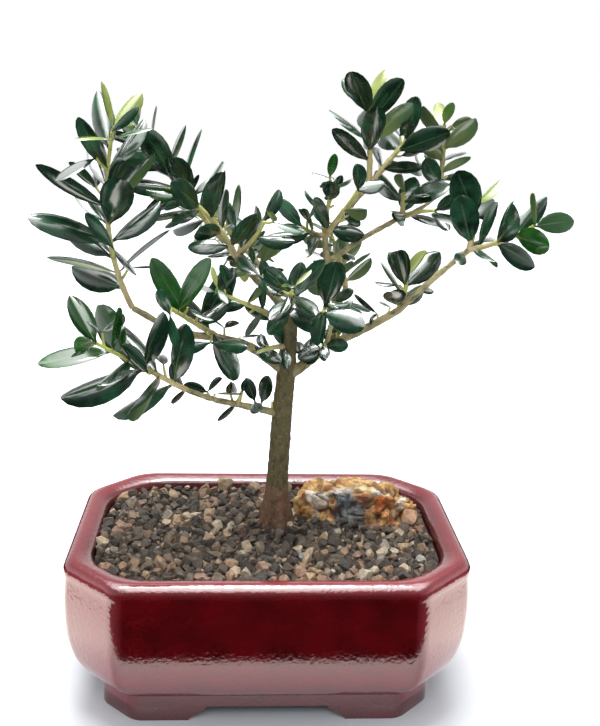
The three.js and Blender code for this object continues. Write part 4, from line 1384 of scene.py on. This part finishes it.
def make_bed_under():
    """The damp bed that the grains lie on: up the inside of the pot and in to the trunk's foot."""
    rings = [outline(inset + BED_GAP, OPENING_SOFTNESS, z + BED_GAP) for z, inset in reversed(POT_INSIDE)]
    edge = outline(SOIL_EDGE_INSET, OPENING_SOFTNESS, SOIL_LEVEL)
    rings.append(edge)
    foot = vec(TRUNK_LINE[0])
    for share in BED_RINGS:
        ring = foot + (edge - foot) * share
        ring[:, 2] = [soil_height(x, y) for x, y, _ in ring]
        rings.append(ring)
    return add_object("damp_bed", loft("damp_bed", rings), two_tone_material("damp soil"))


def make_main_stones(shapes, material):
    """The largest stones, half sunk where the part has them. Their tone is dealt with the part's tilt."""
    dice = Dice(STONE_SEED)
    ring = outline(STONE_INSET, 0, 0)
    spots, turns, sizes, kinds, tones = [], [], [], [], []
    for row in range(-STONE_ROWS[0], STONE_ROWS[0] + 1):
        for line in range(-STONE_ROWS[1], STONE_ROWS[1] + 1):
            x = STONE_SPACING * row + dice.around(STONE_SHIFT)
            y = STONE_SPACING * line + dice.around(STONE_SHIFT)
            size = 1 + dice.around(STONE_VARIES)
            tilt = [dice.around(STONE_TILT) for _ in range(2)]
            turn = dice.around(math.pi)
            if is_open(ring, x, y, STONE_FROM_TRUNK, STONE_FROM_ROCK):
                spots.append((x, y, soil_height(x, y)))
                turns.append(tuple(Matrix.Rotation(turn, 3, "Z").to_quaternion()))
                sizes.append(vec(STONE_HALF) / vec(GRAIN_FLATNESS) * size)
                kinds.append(len(spots) % GRAIN_SHAPES)
                tones.append(0.5 + tilt[0] / STONE_TILT / 2)
    values = {"Shapes": shapes, "Material": material}
    stones = spot_object("main_stones", spots, turns, sizes, kinds, tones)
    return strewn(stones, scatter_tree(), values, "main_stones")


def gravel_surface(name, lift):
    ring = outline(GRAIN_INSET, OPENING_SOFTNESS, SOIL_LEVEL)
    points, faces = [], []
    for x in np.arange(-RIM_LENGTH / 2, RIM_LENGTH / 2, SOIL_CELL):
        for y in np.arange(-RIM_WIDTH / 2, RIM_WIDTH / 2, SOIL_CELL):
            if is_open(ring, x + SOIL_CELL / 2, y + SOIL_CELL / 2, GRAIN_FROM_TRUNK, GRAIN_FROM_ROCK):
                faces.append(range(len(points), len(points) + 4))
                for a, b in ((x, y), (x + SOIL_CELL, y), (x + SOIL_CELL, y + SOIL_CELL), (x, y + SOIL_CELL)):
                    points.append((a, b, soil_height(a, b) + lift))
    return add_object(name, new_mesh(name, placed(points), faces))


def stone_mesh(name, dice, sharp):
    """An angular stone: the hull of a few points near a flattened ball."""
    stone = bmesh.new()
    for _ in range(GRAIN_POINTS):
        spot = unit(vec([dice.around(1) for _ in range(3)])) * dice.between((1 - sharp, 1))
        stone.verts.new(spot * vec(GRAIN_FLATNESS))
    hull = bmesh.ops.convex_hull(stone, input=stone.verts)
    bmesh.ops.delete(stone, geom=[v for v in hull["geom_interior"] if v.is_valid], context="VERTS")
    bmesh.ops.recalc_face_normals(stone, faces=stone.faces)
    mesh = write_shape(stone, bpy.data.meshes.new(name))
    mesh.shade_smooth()
    mesh.set_sharp_from_angle(angle=math.radians(GRAIN_SOFT_ANGLE))
    return mesh


def make_gravel():
    dice = Dice(GRAIN_SEED)
    stones = [stone_mesh(f"grain_{k}", dice, GRAIN_SHARP) for k in range(GRAIN_SHAPES)]
    shapes = shape_collection("grain", stones)
    tree = gravel_tree()
    material = gravel_material()
    pieces = [make_main_stones(shapes, material)]
    for name, lift, spacing, smallest, largest, seed in GRAVEL_LAYERS:
        values = {
            "Shapes": shapes, "Spacing": spacing * MM, "Smallest": smallest * MM, "Largest": largest * MM,
            "Seed": seed, "Material": material}
        pieces.append(grown(gravel_surface(name, lift), tree, values, name))
    drop_collection(shapes)
    return pieces


def make_chip(name, spot, half, seed):
    """A single pale stone that stands up out of the gravel."""
    mesh = stone_mesh(name, Dice(seed), CHIP_SHARP)
    move_points(mesh, placed(mesh_points(mesh) * vec(half) / vec(GRAIN_FLATNESS) + vec(spot)))
    return add_object(name, mesh, two_tone_material(name.replace("_", " ")))


# Rock: a rough stone with a flat base, higher at its left end
def rock_roughness(p):
    return sum(size * math.sin(np.dot(turns, p) + shift) for turns, shift, size in ROCK_WAVES)


def rock_point(p):
    """Moves a point of a unit ball to the rock's skin, with ledges, pits and grain."""
    p = vec(p)
    p = np.sign(p) * np.abs(p) ** ROCK_BLOCK * (1 + ROCK_RELIEF * rock_roughness(p))
    z = max(p[2] * (1 - ROCK_SLOPE * p[0]), -ROCK_CUT) + ROCK_CUT
    spot = vec((p[0], p[1], z)) * vec(ROCK_HALF)
    rough = noise.hetero_terrain(Vector(spot / ROCK_LUMP), *ROCK_LUMP_NOISE)
    out = unit(vec((p[0], p[1], z + ROCK_LEAST_RISE)))
    depth = ROCK_ROUGH * (rough - ROCK_LUMP_MIDDLE) + rock_facet(Vector(spot / ROCK_LEDGE))
    spot = spot + out * depth * min(1, z / ROCK_CUT)
    spot[2] -= ROCK_WORN * max(0, spot[2] - ROCK_TOP)
    return spot, depth


def rock_facet(place):
    """Height of the broken face at a place: each has its own level and slant, with cracks round it."""
    away, centres = noise.voronoi(place)
    chance = noise.cell_vector(centres[0] * ROCK_CELL)
    slant = (place - centres[0]).dot(chance - Vector((0.5, 0.5, 0.5)))
    crack = max(0, 1 - (away[1] - away[0]) / ROCK_CRACK_WIDTH)
    return ROCK_STEP * (chance.x - 1) + ROCK_TILT * slant - ROCK_CRACK * crack


def make_rock():
    ball = bmesh.new()
    bmesh.ops.create_icosphere(ball, subdivisions=ROCK_DETAIL, radius=1)
    turn = Matrix.Rotation(ROCK_TURN, 3, "Z")
    depths = []
    for vert in ball.verts:
        spot, depth = rock_point(vert.co)
        vert.co = placed(turn @ Vector(spot) + Vector(ROCK_SPOT))
        depths.append(depth)
    mesh = write_shape(ball, bpy.data.meshes.new("accent_rock"))
    add_layer(mesh, "relief", (vec(depths) - min(depths)) / np.ptp(depths))
    mesh.shade_smooth()
    return add_object("accent_rock", mesh, rock_material())


# Shader helpers
def own_place(tree):
    return add_node(tree, "ShaderNodeTexCoord").outputs["Object"]


def cloud(tree, scale, detail):
    return add_node(tree, "ShaderNodeTexNoise", {
        "Vector": own_place(tree), "Scale": scale, "Detail": detail}).outputs[0]


def own(tree, label):
    return add_node(tree, "ShaderNodeAttribute", attribute_name=label).outputs["Fac"]


def calc(tree, operation, *values):
    return add_node(tree, "ShaderNodeMath", dict(enumerate(values)), operation=operation).outputs[0]


def times(tree, a, b):
    return calc(tree, "MULTIPLY", a, b)


def calc_vector(tree, operation, *values):
    return add_node(tree, "ShaderNodeVectorMath", dict(enumerate(values)), operation=operation).outputs


def ranged(tree, value, low, high, start=0, end=1):
    return add_node(tree, "ShaderNodeMapRange", {0: value, 1: low, 2: high, 3: start, 4: end}).outputs[0]


def blend(tree, share, low, high):
    return add_node(tree, "ShaderNodeMix", {0: share, 6: low, 7: high}, data_type="RGBA").outputs[2]


def laid(tree, base, *layers):
    """Lays colours over a base, each through its mask and up to its largest share."""
    for mask, (share, colour) in layers:
        base = blend(tree, times(tree, mask, share), base, colour)
    return base


def ramp(tree, value, stops):
    node = add_node(tree, "ShaderNodeValToRGB", {0: value})
    band = node.color_ramp
    while len(band.elements) < len(stops):
        band.elements.new(0.5)
    for element, (spot, colour) in zip(band.elements, stops):
        element.position = spot
        element.color = colour
    return node.outputs[0]


def either(tree, share, first, second):
    return add_node(tree, "ShaderNodeMixShader", {0: share, 1: first, 2: second}).outputs[0]


def join(tree, shader, **outputs):
    for label, output in outputs.items():
        tree.links.new(output, shader.inputs[label.replace("_", " ")])


# Shader groups that more than one material uses
def new_group(name, inputs, output, kind):
    group = bpy.data.node_groups.new(name, "ShaderNodeTree")
    for label in inputs:
        group.interface.new_socket(label, in_out="INPUT", socket_type="NodeSocketFloat")
    group.interface.new_socket(output, in_out="OUTPUT", socket_type="NodeSocket" + kind)
    return group, group.nodes.new("NodeGroupInput").outputs


def patches_group():
    """Soft patches: a mask from cloudy noise, sized in features to the metre."""
    group, given = new_group("soft patches", ("Scale", "Detail", "From", "To"), "Mask", "Float")
    mask = ranged(group, cloud(group, given["Scale"], given["Detail"]), given["From"], given["To"])
    add_node(group, "NodeGroupOutput", {"Mask": mask})
    return group


def flecks_group():
    """Small round flecks scattered over a surface."""
    group, given = new_group("flecks", ("Scale", "Size"), "Mask", "Float")
    cells = add_node(group, "ShaderNodeTexVoronoi", {"Vector": own_place(group), "Scale": given["Scale"]})
    add_node(group, "NodeGroupOutput", {"Mask": ranged(group, cells.outputs["Distance"], given["Size"], 0)})
    return group


def relief_group():
    """Fine relief as a bent normal."""
    group, given = new_group("fine relief", ("Scale", "Detail", "Strength", "Depth"), "Normal", "Vector")
    bump = add_node(group, "ShaderNodeBump", {
        "Strength": given["Strength"], "Distance": given["Depth"],
        "Height": cloud(group, given["Scale"], given["Detail"])})
    add_node(group, "NodeGroupOutput", {"Normal": bump.outputs[0]})
    return group


PATCHES = patches_group()
FLECKS = flecks_group()
RELIEF = relief_group()


def effect(tree, group, values):
    """Adds a group to a material, with values for its inputs in their order."""
    return add_node(tree, "ShaderNodeGroup", dict(enumerate(values)), node_tree=group).outputs[0]


# Materials
def new_material(name, constants):
    material = bpy.data.materials.new(name)
    material.use_nodes = True
    shader = material.node_tree.nodes["Principled BSDF"]
    for label, value in constants.items():
        shader.inputs[label].default_value = value
    return material, material.node_tree, shader


def patchy_material(name, constants=None):
    """A material with fine relief and with soft patches that also set its roughness."""
    clouds, grain, rough = FINISHES[name]
    material, tree, shader = new_material(name, constants or {})
    patches = effect(tree, PATCHES, clouds)
    relief = effect(tree, RELIEF, grain)
    join(tree, shader, Roughness=ranged(tree, patches, 0, 1, *rough), Normal=relief)
    return material, tree, shader, patches


def two_tone_material(name):
    material, tree, shader, patches = patchy_material(name)
    join(tree, shader, Base_Color=blend(tree, patches, *TWO_TONES[name]))
    return material


def leaf_material(kind):
    dark, light, under = LEAF_COLOURS[kind]
    material, tree, shader = new_material(f"{kind} leaf", LEAF_SHEEN)
    side = calc(tree, "ABSOLUTE", own(tree, "across"))
    along = own(tree, "along")
    clouds = effect(tree, PATCHES, LEAF_CLOUDS)
    rib = times(tree, ranged(tree, side, *LEAF_RIB_WIDTH), ranged(tree, along, *LEAF_RIB_FADE))
    top = blend(tree, times(tree, own(tree, "tone"), clouds), dark, light)
    top = blend(tree, rib, top, LEAF_RIB)
    below = blend(tree, times(tree, clouds, LEAF_UNDER_CLOUDS), under, light)
    below = blend(tree, ranged(tree, along, *LEAF_TIP_FADE), below, light)
    below = blend(tree, rib, below, LEAF_UNDER_RIB)
    beneath = own(tree, "under")
    join(tree, shader, Base_Color=blend(tree, beneath, top, below),
         Roughness=ranged(tree, beneath, 0, 1, *LEAF_GLOSS), Normal=effect(tree, RELIEF, LEAF_GRAIN))
    return material


def twig_material():
    material, tree, shader, patches = patchy_material("twig")
    skin = ramp(tree, own(tree, "along"), TWIG_STOPS)
    flecks = effect(tree, FLECKS, TWIG_FLECKS)
    join(tree, shader, Base_Color=laid(tree, skin, (patches, TWIG_SHADE), (flecks, TWIG_FLECK)))
    return material


def bark_material():
    material, tree, shader, patches = patchy_material("bark")
    skin = ramp(tree, own(tree, "age"), BARK_STOPS)
    cracks = ranged(tree, own(tree, "ridge"), *BARK_CRACK_RANGE)
    flecks = effect(tree, FLECKS, BARK_FLECKS)
    join(tree, shader, Base_Color=laid(
        tree, skin, (patches, BARK_SHADE), (cracks, BARK_CRACK), (flecks, BARK_FLECK)))
    return material


def glaze_material():
    material, tree, shader, specks = patchy_material("oxblood glaze", {"IOR": GLAZE_IOR})
    pools = effect(tree, PATCHES, GLAZE_POOLS)
    dots = effect(tree, FLECKS, GLAZE_DOTS)
    # The pale thin-glaze colour is partly painted reflection on the low wall, cut corners, feet and lip
    join(tree, shader, Base_Color=laid(
        tree, GLAZE_DARK, (pools, GLAZE_POOL), (own(tree, "thin_and_reflection"), GLAZE_THIN_AND_REFLECTION), (specks, GLAZE_SPECK),
        (dots, GLAZE_DOT)))
    return material


def gravel_material():
    material, tree, shader, patches = patchy_material("gravel")
    stone = ramp(tree, own(tree, "tone"), GRAVEL_STOPS)
    # Dark spots: damp by the trunk's foot, painted shadow under the rock's front edge
    damp = [(spot_mask(tree, spot, size), GRAVEL_DAMP_AND_SHADOW) for spot, size in DAMP_AND_SHADOW_SPOTS]
    join(tree, shader, Base_Color=laid(tree, stone, (patches, GRAVEL_DUST), *damp))
    return material


def rock_material():
    material, tree, shader, veins = patchy_material("ochre rock")
    tones = {name: blend(tree, veins, *pair) for name, pair in ROCK_COLOURS.items()}
    stains = effect(tree, PATCHES, ROCK_STAINS)
    stone = laid(tree, tones["gold"], (stains, (ROCK_STAIN, tones["rust"])))
    for spot, size, name in ROCK_PATCHES:
        stone = blend(tree, spot_mask(tree, spot, size), stone, tones[name])
    shades = effect(tree, PATCHES, ROCK_SHADES)
    pits = effect(tree, FLECKS, ROCK_PITS)
    # Painted shade: darker brown down in the rock's hollows and cracks
    hollow_shade = ranged(tree, own(tree, "relief"), *ROCK_HOLLOW_SHADE_RANGE)
    join(tree, shader, Base_Color=laid(
        tree, stone, (shades, ROCK_SHADE), (pits, ROCK_PIT), (hollow_shade, ROCK_HOLLOW_SHADE)))
    return material


def spot_mask(tree, spot, size):
    """A patch with a ragged edge round one place."""
    away = calc_vector(tree, "DISTANCE", own_place(tree), tuple(placed(spot)))["Value"]
    ragged = calc(tree, "MULTIPLY_ADD", cloud(tree, *SPOT_CLOUD), SPOT_RAGGED * size * MM, away)
    reach = (1 + SPOT_RAGGED / 2) * size * MM
    return ranged(tree, ragged, reach, (1 - SPOT_FADE) * reach)


def outside(tree, half):
    """How far a place on the floor lies outside a box round the pot, of half a length and half a width."""
    middle = calc_vector(tree, "SUBTRACT", own_place(tree), tuple(POT_CENTRE))[0]
    aside = calc_vector(tree, "ABSOLUTE", middle)[0]
    past = calc_vector(tree, "SUBTRACT", aside, tuple(vec((*half, 0)) * MM))[0]
    parts = add_node(tree, "ShaderNodeSeparateXYZ", {0: past}).outputs
    return calc(tree, "MAXIMUM", parts["X"], parts["Y"])


def floor_material():
    """A pale table. In the gloss of the pot it is dim close by and ends a short way off."""
    material, tree, shader = new_material("pale floor", {"Emission Strength": 1})
    patches = effect(tree, PATCHES, FLOOR_PATCHES)
    from_pot = outside(tree, (RIM_LENGTH / 2 - POT_BASE[0][1], RIM_WIDTH / 2 - POT_BASE[0][1]))
    reach = [far * MM for far in FLOOR_GLOW_REACH]
    join(tree, shader, Base_Color=blend(tree, patches, *FLOOR_COLOURS),
         Roughness=ranged(tree, patches, 0, 1, *FLOOR_ROUGH),
         Emission_Color=ranged(tree, from_pot, *reach, *FLOOR_GLOW))
    away = ranged(tree, from_pot, 0, MIRRORED_REACH * MM)
    glow = add_node(tree, "ShaderNodeEmission", {
        "Color": blend(tree, away, *MIRRORED_COLOURS),
        "Strength": ranged(tree, away, 0, 1, *MIRRORED_FLOOR)}).outputs[0]
    clear = add_node(tree, "ShaderNodeBsdfTransparent").outputs[0]
    past = calc(tree, "GREATER_THAN", outside(tree, MIRRORED_HALF), 0)
    glossy = add_node(tree, "ShaderNodeLightPath").outputs["Is Glossy Ray"]
    seen = either(tree, glossy, shader.outputs[0], either(tree, past, glow, clear))
    tree.links.new(seen, tree.nodes["Material Output"].inputs["Surface"])
    return material


# Floor, light and camera
def make_floor():
    points = [(x * FLOOR_HALF, y * FLOOR_HALF, GROUND) for x, y in ((-1, -1), (1, -1), (1, 1), (-1, 1))]
    mesh = new_mesh("floor", placed(points), [(0, 1, 2, 3)])
    add_object("floor", mesh, floor_material())


def make_world():
    """White to the eye and soft all round as light. In gloss it is brightest overhead and dark in front."""
    world = bpy.data.worlds.new("studio")
    bpy.context.scene.world = world
    world.use_nodes = True
    tree = world.node_tree
    tree.nodes.clear()
    way = add_node(tree, "ShaderNodeTexCoord").outputs["Generated"]
    parts = add_node(tree, "ShaderNodeSeparateXYZ", {0: way}).outputs
    up = parts["Z"]
    lean = calc(tree, "MULTIPLY_ADD", up, WORLD_LEAN, parts["Y"])
    low = times(tree, ranged(tree, lean, *WORLD_FADE, *MIRROR_LOW), ranged(tree, up, *MIRROR_DIM))
    low = times(tree, low, ranged(tree, up, *MIRROR_GROUND))
    glow = calc(tree, "ADD", low, ranged(tree, up, *MIRROR_OVERHEAD))
    mirrored = background(tree, WORLD_WHITE, glow)
    soft = background(tree, WORLD_COOL, ranged(tree, up, 0, 1, *WORLD_SOFT))
    rays = add_node(tree, "ShaderNodeLightPath").outputs
    lit = either(tree, rays["Is Glossy Ray"], soft, mirrored)
    seen = either(tree, rays["Is Camera Ray"], lit, background(tree, WORLD_WHITE, 1))
    add_node(tree, "ShaderNodeOutputWorld", {"Surface": seen})


def background(tree, colour, strength):
    return add_node(tree, "ShaderNodeBackground", {"Color": colour, "Strength": strength}).outputs[0]


def make_light(name, place, size, power):
    light = bpy.data.lights.new(name, "AREA")
    light.size = size
    light.energy = power
    lamp = add_object(name, light)
    lamp.location = place
    lamp.rotation_euler = (Vector(SOFTBOX_AIM) - Vector(place)).to_track_quat("-Z", "Y").to_euler()


def make_camera():
    yaw, down, roll = (math.radians(a) for a in (CAMERA_YAW, CAMERA_DOWN, CAMERA_ROLL))
    ahead = Vector((-math.sin(yaw) * math.cos(down), math.cos(yaw) * math.cos(down), -math.sin(down)))
    right = ahead.cross(Vector((0, 0, 1))).normalized()
    above = right.cross(ahead)
    tilted = right * math.cos(roll) + above * math.sin(roll)
    upright = above * math.cos(roll) - right * math.sin(roll)
    lens = bpy.data.cameras.new("camera")
    lens.sensor_width = SENSOR_MM
    lens.lens = FOCAL_PIXELS / max(FRAME_PIXELS) * SENSOR_MM
    lens.clip_start = CAMERA_NEAR
    camera = add_object("camera", lens)
    turn = Matrix((tilted, upright, -ahead)).transposed().to_4x4()
    camera.matrix_world = Matrix.Translation(placed(CAMERA_PLACE)) @ turn
    bpy.context.scene.camera = camera


# Putting it together
def dress(piece, slot, *nodes):
    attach(piece, "root")
    if nodes:
        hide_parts(*nodes)


def make_plant():
    shoots = [Shoot(habit) for habit in SHOOTS.values()]
    leave_out_clashes(shoots)
    tubes = tube_tree()
    dress(make_bark(tubes), "bark", "trunk", *BOUGHS)
    dress(make_rootlets(tubes), "bark")
    dress(make_twigs(shoots, tubes), "bark", *SHOOTS)
    for leaves in make_leaves(leaf_kinds(shoots)):
        dress(leaves, "leaves", *SHOOTS)


def make_bed():
    dress(make_pot(), "glaze", "pot")
    dress(make_rock(), "rock", "rock")
    for name, values in CHIPS.items():
        dress(make_chip(name, *values), "gravel", "soil")
    dress(make_bed_under(), "gravel", "soil")
    for grains in make_gravel():
        dress(grains, "gravel", "soil")


def main():
    make_camera()
    make_world()
    make_floor()
    for name, values in SOFTBOXES.items():
        make_light(name, *values)
    bpy.context.scene.view_settings.view_transform = "Standard"
    make_bed()
    make_plant()


main()
